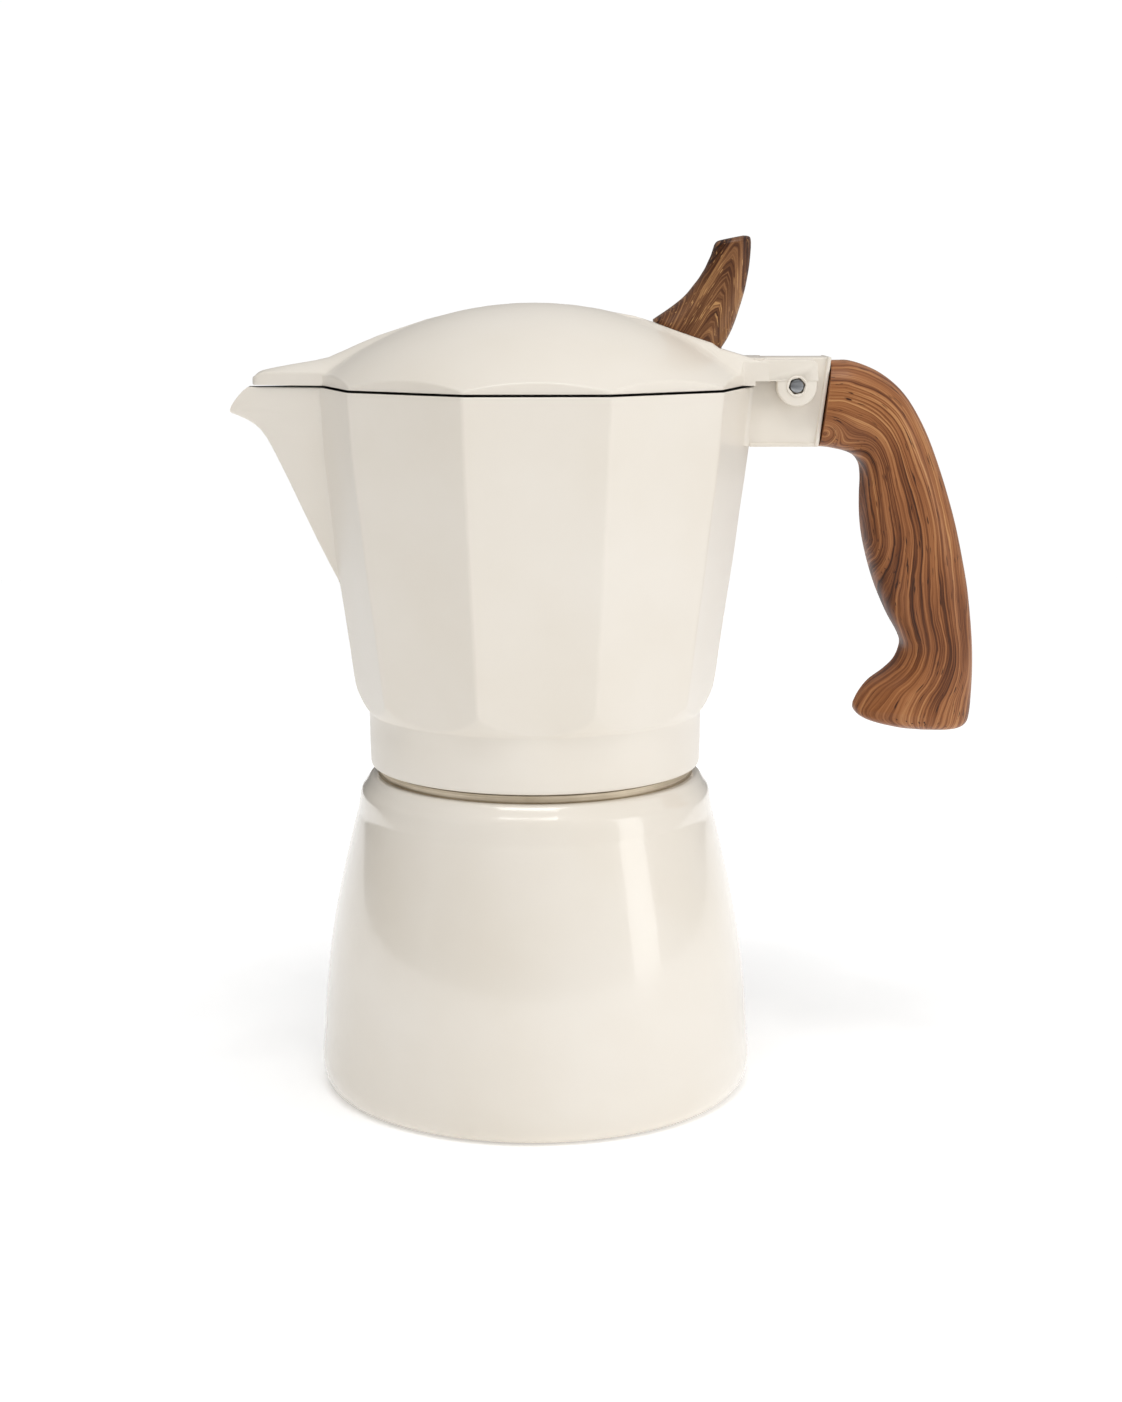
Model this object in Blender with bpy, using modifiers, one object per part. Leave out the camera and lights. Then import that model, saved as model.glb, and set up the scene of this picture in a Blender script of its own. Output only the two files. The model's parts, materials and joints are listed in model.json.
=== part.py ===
"""Stovetop moka pot, built as its separate pieces.

Metres, +Z up. The origin is the centre of the flat underside. +X runs to the handle, -X to the spout.
"""

import math

import bmesh
import bpy
from mathutils import Matrix, Vector

MM = 0.001

# ---- driving dimensions ------------------------------------------------------------------------------------

GAP = 0.3 * MM                    # air left between two pieces that touch on the real pot
ROUND_STEPS = 40                  # facets round a large turned piece
SMALL_STEPS = 20                  # facets round a small turned piece

# boiler
BOILER_HEIGHT = 73.3 * MM         # underside to the top of the shoulder
BOILER_BELLY_RADIUS = 50.3 * MM
BOILER_SHOULDER_STEP = 2.7 * MM   # the shoulder's start beyond its top edge
BOILER_TOP_STEP = 0.3 * MM        # the shoulder's top edge beyond the collar
BOILER_SHOULDER_HEIGHT = 8.1 * MM
BOILER_FOOT_ROUNDING = 2.2 * MM
BOILER_SIDE_BULGE = 2.1 * MM
BOILER_WALL = 3.2 * MM

# screw joint between the boiler and the upper chamber
NECK_RADIUS = 33.6 * MM           # root of the neck's thread
NECK_WALL = 2.8 * MM
NECK_HEIGHT = 10.7 * MM
THREAD_PITCH = 4.0 * MM
THREAD_DEPTH = 1.3 * MM
THREAD_CLEARANCE = 0.5 * MM       # radial, between a crest and the root it runs in
THREAD_TURNS = 1.2
THREAD_CREST_WIDTH = 0.8 * MM
THREAD_ROOT_WIDTH = 1.8 * MM
COLLAR_LIFT = 1.7 * MM            # open groove between the shoulder and the collar when screwed home

# coffee basket, gasket and filter plate
BASKET_WALL = 0.8 * MM
BASKET_CLEARANCE = 0.6 * MM
BASKET_DEPTH = 22.0 * MM
BASKET_CONE_HEIGHT = 11.0 * MM
STEM_RADIUS = 5.0 * MM
STEM_WALL = 0.8 * MM
STEM_FLOOR_CLEARANCE = 6.0 * MM
GASKET_THICKNESS = 3.2 * MM
GASKET_WIDTH = 7.6 * MM
PLATE_THICKNESS = 1.0 * MM
FILTER_HOLE_RADIUS = 1.1 * MM
FILTER_HOLE_SPACING = 8.6 * MM
FILTER_HOLE_RINGS = 2

# upper chamber
COLLAR_WALL = 2.6 * MM
JUG_SIDES = 10
JUG_FLOOR = 3.0 * MM
JUG_WALL = 2.7 * MM
JUG_HEIGHT = 72.8 * MM            # from the collar's inner seat to the rim
JUG_FOOT_STEP = 2.6 * MM          # corner of the ten-sided body beyond the collar, where it starts
JUG_RIM_RADIUS = 50.0 * MM        # corner radius at the rim
JUG_SIDE_BULGE = 0.5 * MM
JUG_UNDERCUT_HEIGHT = 5.3 * MM
JUG_UNDERCUT_BULGE = 1.0 * MM

# spout
SPOUT_START = 45.0 * MM           # below the rim
SPOUT_RAKE = 0.465                # how far the ridge moves out for each unit it rises
SPOUT_HALF_WIDTH = 6.6 * MM
SPOUT_WALL = 1.5 * MM
SPOUT_CURL_HEIGHT = 6.0 * MM
SPOUT_CURL_REACH = 6.3 * MM
SPOUT_TIP_DROP = 5.8 * MM         # the tip below the rim
SPOUT_LIP_RUN = 5.3 * MM          # the lip's top to its tip

# hinge bracket
BRACKET_REACH = 16.3 * MM         # rim corner to the handle face, measured along the top
BRACKET_RISE = 6.6 * MM           # bracket top above the rim
BRACKET_DEPTH = 20.0 * MM
BRACKET_SLANT = 0.127             # the handle face leans back this much for each unit it drops
WEB_HALF_WIDTH = 5.7 * MM
FLANGE_HALF_WIDTH = 6.3 * MM
FLANGE_THICKNESS = 0.9 * MM
FLANGE_STEP = 0.15 * MM           # the rim stands this much above and below the web
PIN_SETBACK = 7.2 * MM            # pin axis to the handle face, level with the pin
PIN_HEIGHT = 0.3 * MM             # pin axis above the rim
PIN_RADIUS = 1.5 * MM
PIN_RUNNING_CLEARANCE = 0.08 * MM
CHEEK_THICKNESS = 2.7 * MM
KNUCKLE_RADIUS = 4.5 * MM
HINGE_SWEEP = 6.8 * MM            # furthest that a cheek reaches from the pin towards the handle
HINGE_RELIEF_RADIUS = 9.3 * MM    # the bracket's nose, turned about the pin

# lid
LID_INSET = 0.6 * MM              # the skirt's corner inside the rim's
LID_EDGE_HEIGHT = 0.65 * MM       # the skirt's height at its corners
LID_DOME_HEIGHT = 18.2 * MM       # dome top above the skirt's lower face
LID_WALL = 2.3 * MM
LID_RIM_WIDTH = 4.4 * MM
SPOUT_COVER_HALF_WIDTH = 7.0 * MM
SPOUT_COVER_TIP_HALF_WIDTH = 2.9 * MM
LID_RIDGE_RUN = 26.0 * MM         # from where the two ridges leave the dome to the rim's corner
LID_RIDGE_LEVEL = 2.0 * MM        # the rear ridge is level from here inside the rim's corner

# handle, drawn from the top corner of the bracket's face
HANDLE_HALF_WIDTH = 10.0 * MM
HANDLE_EDGE_ROUNDING = 3.6 * MM
HANDLE_REACH = 34.5 * MM
HANDLE_LENGTH = 84.4 * MM
HANDLE_TOP_STEP = 0.9 * MM        # the handle's top below the bracket's
HANDLE_ARCH_DROP = 6.2 * MM       # the underside has turned down this far below the bracket's foot
TONGUE_LENGTH = 11.5 * MM
TONGUE_HEIGHT = 10.0 * MM
TONGUE_HALF_WIDTH = 3.4 * MM
TONGUE_DROP = 4.6 * MM            # tongue top below the bracket's top
HANDLE_SCREW_RADIUS = 2.0 * MM
HANDLE_SCREW_HEAD_RADIUS = 3.5 * MM
HANDLE_SCREW_HEAD_HEIGHT = 2.4 * MM
WASHER_THICKNESS = 0.8 * MM

# knob
KNOB_SETBACK = 15.1 * MM          # middle of its foot to the rim's corner
KNOB_TILT = math.radians(24.8)    # its axis leans this far from upright
KNOB_HEIGHT = 23.5 * MM
KNOB_FOOT_LENGTH = 16.3 * MM
KNOB_TOP_LENGTH = 8.4 * MM
KNOB_HALF_WIDTH = 6.8 * MM
KNOB_EDGE_ROUNDING = 2.0 * MM
KNOB_INSERT_RADIUS = 2.8 * MM
KNOB_INSERT_LENGTH = 9.0 * MM
KNOB_SCREW_RADIUS = 1.5 * MM
KNOB_SCREW_HEAD_RADIUS = 3.0 * MM
KNOB_SCREW_HEAD_HEIGHT = 1.8 * MM

# coffee column
COLUMN_HEIGHT = 49.0 * MM
COLUMN_FOOT_RADIUS = 6.4 * MM
COLUMN_TOP_RADIUS = 4.6 * MM
COLUMN_BORE_RADIUS = 3.1 * MM
COLUMN_SPIGOT_RADIUS = 4.8 * MM
COLUMN_CAP_DEPTH = 8.0 * MM
COLUMN_CAP_WALL = 1.0 * MM

# safety valve, on the +Y side of the boiler
VALVE_HEIGHT = 44.0 * MM
VALVE_BOSS_RADIUS = 8.4 * MM
VALVE_BOSS_STAND = 1.2 * MM       # boss face beyond the boiler's side at the valve's height
VALVE_STUD_RADIUS = 4.9 * MM
VALVE_HEX_RADIUS = 7.4 * MM
VALVE_WASHER_STEP = 0.6 * MM      # the washer's edge inside the hexagon's corners
VALVE_HEX_THICKNESS = 3.4 * MM
VALVE_STUD_LENGTH = 7.0 * MM
VALVE_CAVITY_RADIUS = 3.1 * MM
VALVE_PIN_RADIUS = 1.0 * MM
VALVE_SEAT_THICKNESS = 1.5 * MM
VALVE_HEAD_THICKNESS = 1.2 * MM
VALVE_LIFT = 1.5 * MM
VALVE_SPRING_WIRE = 0.28 * MM
VALVE_SPRING_TURNS = 4

# ---- places worked out from the dimensions -----------------------------------------------------------------

NECK_TOP = BOILER_HEIGHT + NECK_HEIGHT
COLLAR_BOTTOM = BOILER_HEIGHT + COLLAR_LIFT
THREAD_CREST_RADIUS = NECK_RADIUS + THREAD_DEPTH
COLLAR_BORE_RADIUS = THREAD_CREST_RADIUS + THREAD_CLEARANCE
COLLAR_THREAD_RADIUS = NECK_RADIUS + THREAD_CLEARANCE
COLLAR_RADIUS = COLLAR_BORE_RADIUS + COLLAR_WALL
BOILER_TOP_RADIUS = COLLAR_RADIUS + BOILER_TOP_STEP
BOILER_SHOULDER_RADIUS = BOILER_TOP_RADIUS + BOILER_SHOULDER_STEP
JUG_FOOT_RADIUS = COLLAR_RADIUS + JUG_FOOT_STEP
COLLAR_THREAD_START = COLLAR_BOTTOM + GAP / 3 + THREAD_ROOT_WIDTH / 2
NECK_THREAD_START = COLLAR_THREAD_START + THREAD_PITCH / 2

BASKET_TOP = NECK_TOP + GAP + BASKET_WALL
GASKET_BOTTOM = BASKET_TOP + GAP
JUG_SEAT = GASKET_BOTTOM + GASKET_THICKNESS + GAP
JUG_RIM = JUG_SEAT + JUG_HEIGHT
LID_BOTTOM = JUG_RIM + GAP
LID_RADIUS = JUG_RIM_RADIUS - LID_INSET
LID_DOME_RISE = LID_DOME_HEIGHT - LID_EDGE_HEIGHT
LID_DOME_RADIUS = (LID_RADIUS**2 + LID_DOME_RISE**2) / (2 * LID_DOME_RISE)
LID_RIDGE_START = JUG_RIM_RADIUS - LID_RIDGE_RUN
KNOB_PLACE = JUG_RIM_RADIUS - KNOB_SETBACK
DOME_CENTRE = LID_BOTTOM + LID_DOME_HEIGHT - LID_DOME_RADIUS

BRACKET_TOP = JUG_RIM + BRACKET_RISE
BRACKET_END = JUG_RIM_RADIUS + BRACKET_REACH
PIN_Z = JUG_RIM + PIN_HEIGHT
PIN_X = BRACKET_END - BRACKET_SLANT * (BRACKET_TOP - PIN_Z) - PIN_SETBACK
CHEEK_INNER = FLANGE_HALF_WIDTH + GAP
CHEEK_OUTER = CHEEK_INNER + CHEEK_THICKNESS
ARM_FOOT = LID_BOTTOM + 1.1 * MM  # the arm's lower edge beyond the rim


def face_x(z):
    """X of the bracket's slanted handle face at height z."""
    return BRACKET_END - BRACKET_SLANT * (BRACKET_TOP - z)


def boiler_side(z):
    """Outer radius of the boiler's curved side at height z, from the arc through its ends."""
    start = Vector((BOILER_BELLY_RADIUS, BOILER_FOOT_ROUNDING))
    end = Vector((BOILER_SHOULDER_RADIUS, BOILER_HEIGHT - BOILER_SHOULDER_HEIGHT))
    share = (z - start.y) / (end.y - start.y)
    return start.x + (end.x - start.x) * share + 4 * BOILER_SIDE_BULGE * share * (1 - share)


def valve_boss_face():
    """Y of the boss's face, which the side below it never passes under the washer."""
    washer_foot = VALVE_HEIGHT - (VALVE_HEX_RADIUS - VALVE_WASHER_STEP)
    return max(boiler_side(VALVE_HEIGHT) + VALVE_BOSS_STAND, boiler_side(washer_foot))


def jug_corner(z):
    """Corner radius of the jug's ten-sided outside at height z."""
    share = (z - JUG_SEAT) / JUG_HEIGHT
    return (
        JUG_FOOT_RADIUS
        + (JUG_RIM_RADIUS - JUG_FOOT_RADIUS) * share
        + 4 * JUG_SIDE_BULGE * share * (1 - share)
    )


# ---- scene and material helpers ----------------------------------------------------------------------------


def clear_scene():
    for obj in list(bpy.data.objects):
        bpy.data.objects.remove(obj, do_unlink=True)
    for name in ("moka_pot", "cutters"):
        bpy.context.scene.collection.children.link(bpy.data.collections.new(name))


def make_material(name, colour, roughness, metallic):
    material = bpy.data.materials.new(name)
    material.use_nodes = True
    shader = material.node_tree.nodes["Principled BSDF"]
    shader.inputs["Base Color"].default_value = (*colour, 1)
    shader.inputs["Roughness"].default_value = roughness
    shader.inputs["Metallic"].default_value = metallic
    material.diffuse_color = (*colour, 1)
    return material


def add_object(name, mesh, helper=False):
    obj = bpy.data.objects.new(name, mesh)
    if helper:
        obj.hide_render = True
        obj.display_type = "WIRE"
    bpy.data.collections["cutters" if helper else "moka_pot"].objects.link(obj)
    return obj


def finish(obj, material, sharp_angle=35):
    obj.data.materials.clear()
    obj.data.materials.append(material)
    obj.data.shade_smooth()
    obj.data.set_sharp_from_angle(angle=math.radians(sharp_angle))
    return obj


# ---- shape helpers -----------------------------------------------------------------------------------------


def arc(start, end, bulge, steps):
    """Points from start to end on a curve that stands off their chord by bulge, to the left of the way."""
    start, end = Vector(start), Vector(end)
    way = end - start
    side = Vector((-way.y, way.x)).normalized()
    points = []
    for step in range(steps + 1):
        share = step / steps
        points.append(start + way * share + side * 4 * bulge * share * (1 - share))
    return points


def quarter(centre, radius, start_degrees, end_degrees, steps):
    """Points on a circular arc about centre."""
    angles = [
        math.radians(start_degrees + (end_degrees - start_degrees) * step / steps) for step in range(steps + 1)
    ]
    return [Vector((centre[0] + radius * math.cos(a), centre[1] + radius * math.sin(a))) for a in angles]


def turned(name, profile, closed=False, steps=ROUND_STEPS, helper=False):
    """A profile of (radius, height) points turned about Z. It runs down its outer side."""
    mesh = bpy.data.meshes.new(name)
    count = len(profile)
    edges = [(i, i + 1) for i in range(count - 1)] + ([(count - 1, 0)] if closed else [])
    mesh.from_pydata([(point[0], 0, point[1]) for point in profile], edges, [])
    obj = add_object(name, mesh, helper)
    screw = obj.modifiers.new("turn", "SCREW")
    screw.steps = steps
    screw.render_steps = steps
    screw.use_merge_vertices = True
    screw.merge_threshold = 0.00001
    return obj


def apply_shape(obj):
    """Turns an object's modifiers, or its curve, into a plain mesh with welded caps."""
    bpy.context.view_layer.update()
    evaluated = obj.evaluated_get(bpy.context.evaluated_depsgraph_get())
    mesh = bpy.data.meshes.new_from_object(evaluated)
    work = bmesh.new()
    work.from_mesh(mesh)
    bmesh.ops.remove_doubles(work, verts=work.verts, dist=0.00001)
    loose = [edge for edge in work.edges if edge.is_boundary]
    if loose:
        bmesh.ops.holes_fill(work, edges=loose, sides=0)
    bmesh.ops.recalc_face_normals(work, faces=work.faces)
    work.to_mesh(mesh)
    work.free()
    name, matrix, helper = obj.name, obj.matrix_world.copy(), obj.hide_render
    bpy.data.objects.remove(obj, do_unlink=True)
    result = add_object(name, mesh, helper)
    result.matrix_world = matrix
    return result


def cylinder(name, radius, start, end, steps=SMALL_STEPS, end_radius=None, helper=False):
    """A round bar, or a cone, from start to end."""
    start, end = Vector(start), Vector(end)
    work = bmesh.new()
    bmesh.ops.create_cone(
        work,
        cap_ends=True,
        segments=steps,
        radius1=radius,
        radius2=radius if end_radius is None else end_radius,
        depth=(end - start).length,
    )
    mesh = bpy.data.meshes.new(name)
    work.to_mesh(mesh)
    work.free()
    obj = add_object(name, mesh, helper)
    obj.rotation_mode = "QUATERNION"
    obj.rotation_quaternion = (end - start).to_track_quat("Z", "Y")
    obj.location = (start + end) / 2
    return obj


def box(name, low, high, helper=False):
    work = bmesh.new()
    bmesh.ops.create_cube(work, size=1)
    size = Vector(high) - Vector(low)
    bmesh.ops.scale(work, vec=size, verts=work.verts)
    mesh = bpy.data.meshes.new(name)
    work.to_mesh(mesh)
    work.free()
    obj = add_object(name, mesh, helper)
    obj.location = (Vector(low) + Vector(high)) / 2
    return obj


def plate(name, outline, half_width, rounding=0, rounding_steps=0, helper=False):
    """A flat outline of (x, z) points, as thick as twice half_width along Y, with rounded edges."""
    curve = bpy.data.curves.new(name, "CURVE")
    curve.dimensions = "2D"
    curve.fill_mode = "BOTH"
    curve.extrude = half_width - rounding
    curve.bevel_depth = rounding
    curve.bevel_resolution = rounding_steps
    curve.offset = -rounding
    spline = curve.splines.new("POLY")
    spline.points.add(len(outline) - 1)
    for point, (x, z) in zip(spline.points, outline):
        point.co = (x, z, 0, 1)
    spline.use_cyclic_u = True
    obj = add_object(name, curve, helper)
    obj.rotation_euler = (math.pi / 2, 0, 0)
    return apply_shape(obj)


def loft(name, rings, helper=False):
    """A skin over a row of rings that have the same number of points, closed at both ends."""
    work = bmesh.new()
    rows = [[work.verts.new(point) for point in ring] for ring in rings]
    count = len(rows[0])
    for low, high in zip(rows, rows[1:]):
        for i in range(count):
            j = (i + 1) % count
            work.faces.new((low[i], low[j], high[j], high[i]))
    work.faces.new(rows[0])
    work.faces.new(rows[-1])
    bmesh.ops.recalc_face_normals(work, faces=work.faces)
    mesh = bpy.data.meshes.new(name)
    work.to_mesh(mesh)
    work.free()
    return add_object(name, mesh, helper)


def combine(obj, other, operation):
    boolean = obj.modifiers.new(f"{operation.lower()} {other.name}", "BOOLEAN")
    boolean.object = other
    boolean.operation = operation
    boolean.solver = "EXACT"


def cut(obj, *others):
    for other in others:
        combine(obj, other, "DIFFERENCE")


def join(obj, *others):
    for other in others:
        combine(obj, other, "UNION")


def keep(obj, other):
    combine(obj, other, "INTERSECT")


def smooth_run(points, steps):
    """A smooth open curve through the points."""
    padded = [Vector(points[0]), *map(Vector, points), Vector(points[-1])]
    result = []
    for a, b, c, d in zip(padded, padded[1:], padded[2:], padded[3:]):
        for step in range(steps):
            t = step / steps
            result.append(
                0.5 * (2 * b + (c - a) * t + (2 * a - 5 * b + 4 * c - d) * t**2 + (3 * b - a - 3 * c + d) * t**3)
            )
    return [*result, Vector(points[-1])]


def thread_rib(name, root_radius, crest_radius, start):
    """One helical rib of the screw joint, its root sunk in the wall that carries it."""
    sink = 0.5 * MM * (-1 if crest_radius > root_radius else 1)
    half_root, half_crest = THREAD_ROOT_WIDTH / 2, THREAD_CREST_WIDTH / 2
    section = [
        (root_radius + sink, start + half_root),
        (crest_radius, start + half_crest),
        (crest_radius, start - half_crest),
        (root_radius + sink, start - half_root),
    ]
    obj = turned(name, section, closed=True, steps=round(ROUND_STEPS * THREAD_TURNS / 2), helper=True)
    screw = obj.modifiers["turn"]
    screw.angle = math.pi * THREAD_TURNS
    screw.screw_offset = THREAD_PITCH * THREAD_TURNS / 2
    screw.iterations = 2
    return apply_shape(obj)


# ---- boiler, funnel and gasket -----------------------------------------------------------------------------


def make_boiler():
    top_of_side = BOILER_HEIGHT - BOILER_SHOULDER_HEIGHT
    inner_neck = NECK_RADIUS - NECK_WALL
    inner_side = [
        (inner_neck, BOILER_HEIGHT - BOILER_WALL),
        (BOILER_SHOULDER_RADIUS - BOILER_WALL, top_of_side - BOILER_WALL),
    ]
    inner_low = (BOILER_BELLY_RADIUS - BOILER_WALL, BOILER_WALL + 2 * BOILER_FOOT_ROUNDING)
    profile = [
        (0, BOILER_WALL),
        (BOILER_BELLY_RADIUS - BOILER_WALL - 2 * BOILER_FOOT_ROUNDING, BOILER_WALL),
        *arc(inner_low, inner_side[1], -BOILER_SIDE_BULGE, 4),
        inner_side[0],
        (inner_neck, NECK_TOP),
        (NECK_RADIUS, NECK_TOP),
        (NECK_RADIUS, BOILER_HEIGHT),
        (BOILER_TOP_RADIUS - 0.8 * MM, BOILER_HEIGHT),
        *arc((BOILER_TOP_RADIUS, BOILER_HEIGHT - 0.6 * MM), (BOILER_SHOULDER_RADIUS, top_of_side), 0.3 * MM, 3),
        *arc(
            (BOILER_SHOULDER_RADIUS, top_of_side),
            (BOILER_BELLY_RADIUS, BOILER_FOOT_ROUNDING),
            BOILER_SIDE_BULGE,
            8,
        )[1:],
        *quarter(
            (BOILER_BELLY_RADIUS - BOILER_FOOT_ROUNDING, BOILER_FOOT_ROUNDING), BOILER_FOOT_ROUNDING, 0, -90, 3
        )[1:],
        (0, 0),
    ]
    boiler = turned("boiler", profile)
    join(boiler, thread_rib("neck_thread", NECK_RADIUS, THREAD_CREST_RADIUS, NECK_THREAD_START))
    boss_face = valve_boss_face()
    inside = boiler_side(VALVE_HEIGHT) - BOILER_WALL / 2
    boss = cylinder(
        "valve_boss", VALVE_BOSS_RADIUS, (0, inside, VALVE_HEIGHT), (0, boss_face, VALVE_HEIGHT), 24, helper=True
    )
    bore = cylinder(
        "valve_hole",
        VALVE_STUD_RADIUS + GAP,
        (0, inside - 3 * BOILER_WALL, VALVE_HEIGHT),
        (0, boss_face + BOILER_WALL, VALVE_HEIGHT),
        helper=True,
    )
    join(boiler, boss)
    cut(boiler, bore)
    return boiler


def make_funnel():
    outer = NECK_RADIUS - NECK_WALL - BASKET_CLEARANCE
    flange = NECK_RADIUS - 2 * GAP
    floor = BASKET_TOP - BASKET_DEPTH
    throat = STEM_RADIUS + GAP
    cone_foot = floor - BASKET_CONE_HEIGHT
    socket_foot = cone_foot - 3 * MM
    ledge = outer - 3.2 * MM
    basket = turned(
        "funnel_basket",
        [
            (outer - BASKET_WALL, BASKET_TOP),
            (flange, BASKET_TOP),
            (flange, BASKET_TOP - BASKET_WALL),
            (outer, BASKET_TOP - BASKET_WALL),
            (outer, floor),
            (ledge, floor - BASKET_WALL),
            (throat + BASKET_WALL, cone_foot),
            (throat + BASKET_WALL, socket_foot),
            (throat, socket_foot),
            (throat, cone_foot + BASKET_WALL / 2),
            (ledge, floor),
            (outer - BASKET_WALL, floor + BASKET_WALL),
        ],
        closed=True,
    )
    stem_top = cone_foot + BASKET_WALL / 2
    stem_foot = BOILER_WALL + STEM_FLOOR_CLEARANCE
    stem = turned(
        "funnel_stem",
        [
            (STEM_RADIUS, stem_top),
            (STEM_RADIUS, stem_foot),
            (STEM_RADIUS - STEM_WALL, stem_foot),
            (STEM_RADIUS - STEM_WALL, stem_top),
        ],
        closed=True,
        steps=SMALL_STEPS,
    )
    disc_radius = outer - BASKET_WALL - GAP
    disc_foot = floor + BASKET_WALL + GAP
    disc = turned(
        "basket_filter_disc",
        [(0, disc_foot + BASKET_WALL), (disc_radius, disc_foot + BASKET_WALL), (disc_radius, disc_foot), (0, disc_foot)],
    )
    cut(disc, filter_holes("disc_holes", disc_foot, BASKET_WALL))
    return basket, stem, disc


def filter_holes(name, foot, thickness):
    """One cutter that holds a round field of pins in a triangular pattern."""
    work = bmesh.new()
    for row in range(-FILTER_HOLE_RINGS, FILTER_HOLE_RINGS + 1):
        for column in range(-FILTER_HOLE_RINGS, FILTER_HOLE_RINGS + 1):
            if abs(row + column) > FILTER_HOLE_RINGS:
                continue
            x = FILTER_HOLE_SPACING * (column + row / 2)
            y = FILTER_HOLE_SPACING * row * math.sqrt(3) / 2
            bmesh.ops.create_cone(
                work,
                cap_ends=True,
                segments=6,
                radius1=FILTER_HOLE_RADIUS,
                radius2=FILTER_HOLE_RADIUS,
                depth=3 * thickness,
                matrix=Matrix.Translation((x, y, foot + thickness / 2)),
            )
    mesh = bpy.data.meshes.new(name)
    work.to_mesh(mesh)
    work.free()
    return add_object(name, mesh, helper=True)


def make_gasket_set():
    outer = COLLAR_BORE_RADIUS - GAP
    inner = outer - GASKET_WIDTH
    top = GASKET_BOTTOM + GASKET_THICKNESS
    gasket = turned(
        "gasket",
        [(inner, top), (outer, top), (outer, GASKET_BOTTOM), (inner, GASKET_BOTTOM)],
        closed=True,
    )
    rim = inner - GAP
    foot = GASKET_BOTTOM + GAP
    filter_plate = turned(
        "filter_plate",
        [
            (0, foot + PLATE_THICKNESS),
            (rim - PLATE_THICKNESS, foot + PLATE_THICKNESS),
            (rim - PLATE_THICKNESS, top - GAP),
            (rim, top - GAP),
            (rim, foot),
            (0, foot),
        ],
    )
    cut(filter_plate, filter_holes("plate_holes", foot, PLATE_THICKNESS))
    return gasket, filter_plate


# ---- safety valve ------------------------------------------------------------------------------------------


def along_valve(stand):
    """A point on the valve's axis, this far out from the boss face."""
    return Vector((0, valve_boss_face() + stand, VALVE_HEIGHT))


def make_valve():
    washer_end = GAP + WASHER_THICKNESS
    hex_start = washer_end + GAP
    hex_end = hex_start + VALVE_HEX_THICKNESS
    stud_end = -VALVE_STUD_LENGTH
    seat = stud_end + VALVE_SEAT_THICKNESS

    washer_radius = VALVE_HEX_RADIUS - VALVE_WASHER_STEP
    washer = cylinder("safety_valve_washer", washer_radius, along_valve(GAP), along_valve(washer_end))
    cut(
        washer,
        cylinder(
            "washer_hole", VALVE_STUD_RADIUS + GAP, along_valve(-MM), along_valve(washer_end + MM), helper=True
        ),
    )

    body = cylinder("safety_valve_body", VALVE_STUD_RADIUS, along_valve(stud_end), along_valve(hex_end - MM))
    join(body, cylinder("valve_hex", VALVE_HEX_RADIUS, along_valve(hex_start), along_valve(hex_end), 6, helper=True))
    cut(
        body,
        cylinder("valve_cavity", VALVE_CAVITY_RADIUS, along_valve(seat), along_valve(hex_end + MM), helper=True),
        cylinder(
            "valve_seat_hole",
            VALVE_PIN_RADIUS + 2 * GAP,
            along_valve(stud_end - MM),
            along_valve(seat + MM / 2),
            12,
            helper=True,
        ),
    )

    retainer_end = hex_end - GAP
    retainer_start = retainer_end - WASHER_THICKNESS
    retainer = cylinder(
        "safety_valve_retainer",
        VALVE_CAVITY_RADIUS - GAP,
        along_valve(retainer_start),
        along_valve(retainer_end),
        16,
    )
    cut(
        retainer,
        cylinder(
            "retainer_hole",
            VALVE_PIN_RADIUS + GAP,
            along_valve(retainer_start - MM),
            along_valve(retainer_end + MM),
            12,
            helper=True,
        ),
    )

    head_start = seat + GAP
    head_end = head_start + VALVE_HEAD_THICKNESS
    piston = cylinder(
        "safety_valve_piston",
        VALVE_PIN_RADIUS,
        along_valve(stud_end - MM),
        along_valve(hex_end + 2 * MM),
        12,
    )
    join(
        piston,
        cylinder(
            "piston_head", VALVE_CAVITY_RADIUS - 2 * GAP, along_valve(head_start), along_valve(head_end), 16, helper=True
        ),
    )

    spring_radius = VALVE_CAVITY_RADIUS - GAP - VALVE_SPRING_WIRE - 0.1 * MM
    low = head_end + GAP + VALVE_SPRING_WIRE
    high = retainer_start - GAP - VALVE_SPRING_WIRE
    spring = coil("safety_valve_spring", spring_radius, low, high)
    return body, washer, retainer, piston, spring


def coil(name, radius, low, high):
    """A wire wound about the valve's axis between two stands from the boss face."""
    curve = bpy.data.curves.new(name, "CURVE")
    curve.dimensions = "3D"
    curve.bevel_depth = VALVE_SPRING_WIRE
    curve.bevel_resolution = 1
    curve.use_fill_caps = True
    spline = curve.splines.new("POLY")
    count = 10 * VALVE_SPRING_TURNS + 1
    spline.points.add(count - 1)
    for i, point in enumerate(spline.points):
        share = i / (count - 1)
        angle = 2 * math.pi * VALVE_SPRING_TURNS * share
        centre = along_valve(low + (high - low) * share)
        point.co = (centre.x + radius * math.cos(angle), centre.y, centre.z + radius * math.sin(angle), 1)
    return apply_shape(add_object(name, curve))


# ---- upper chamber -----------------------------------------------------------------------------------------


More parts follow.
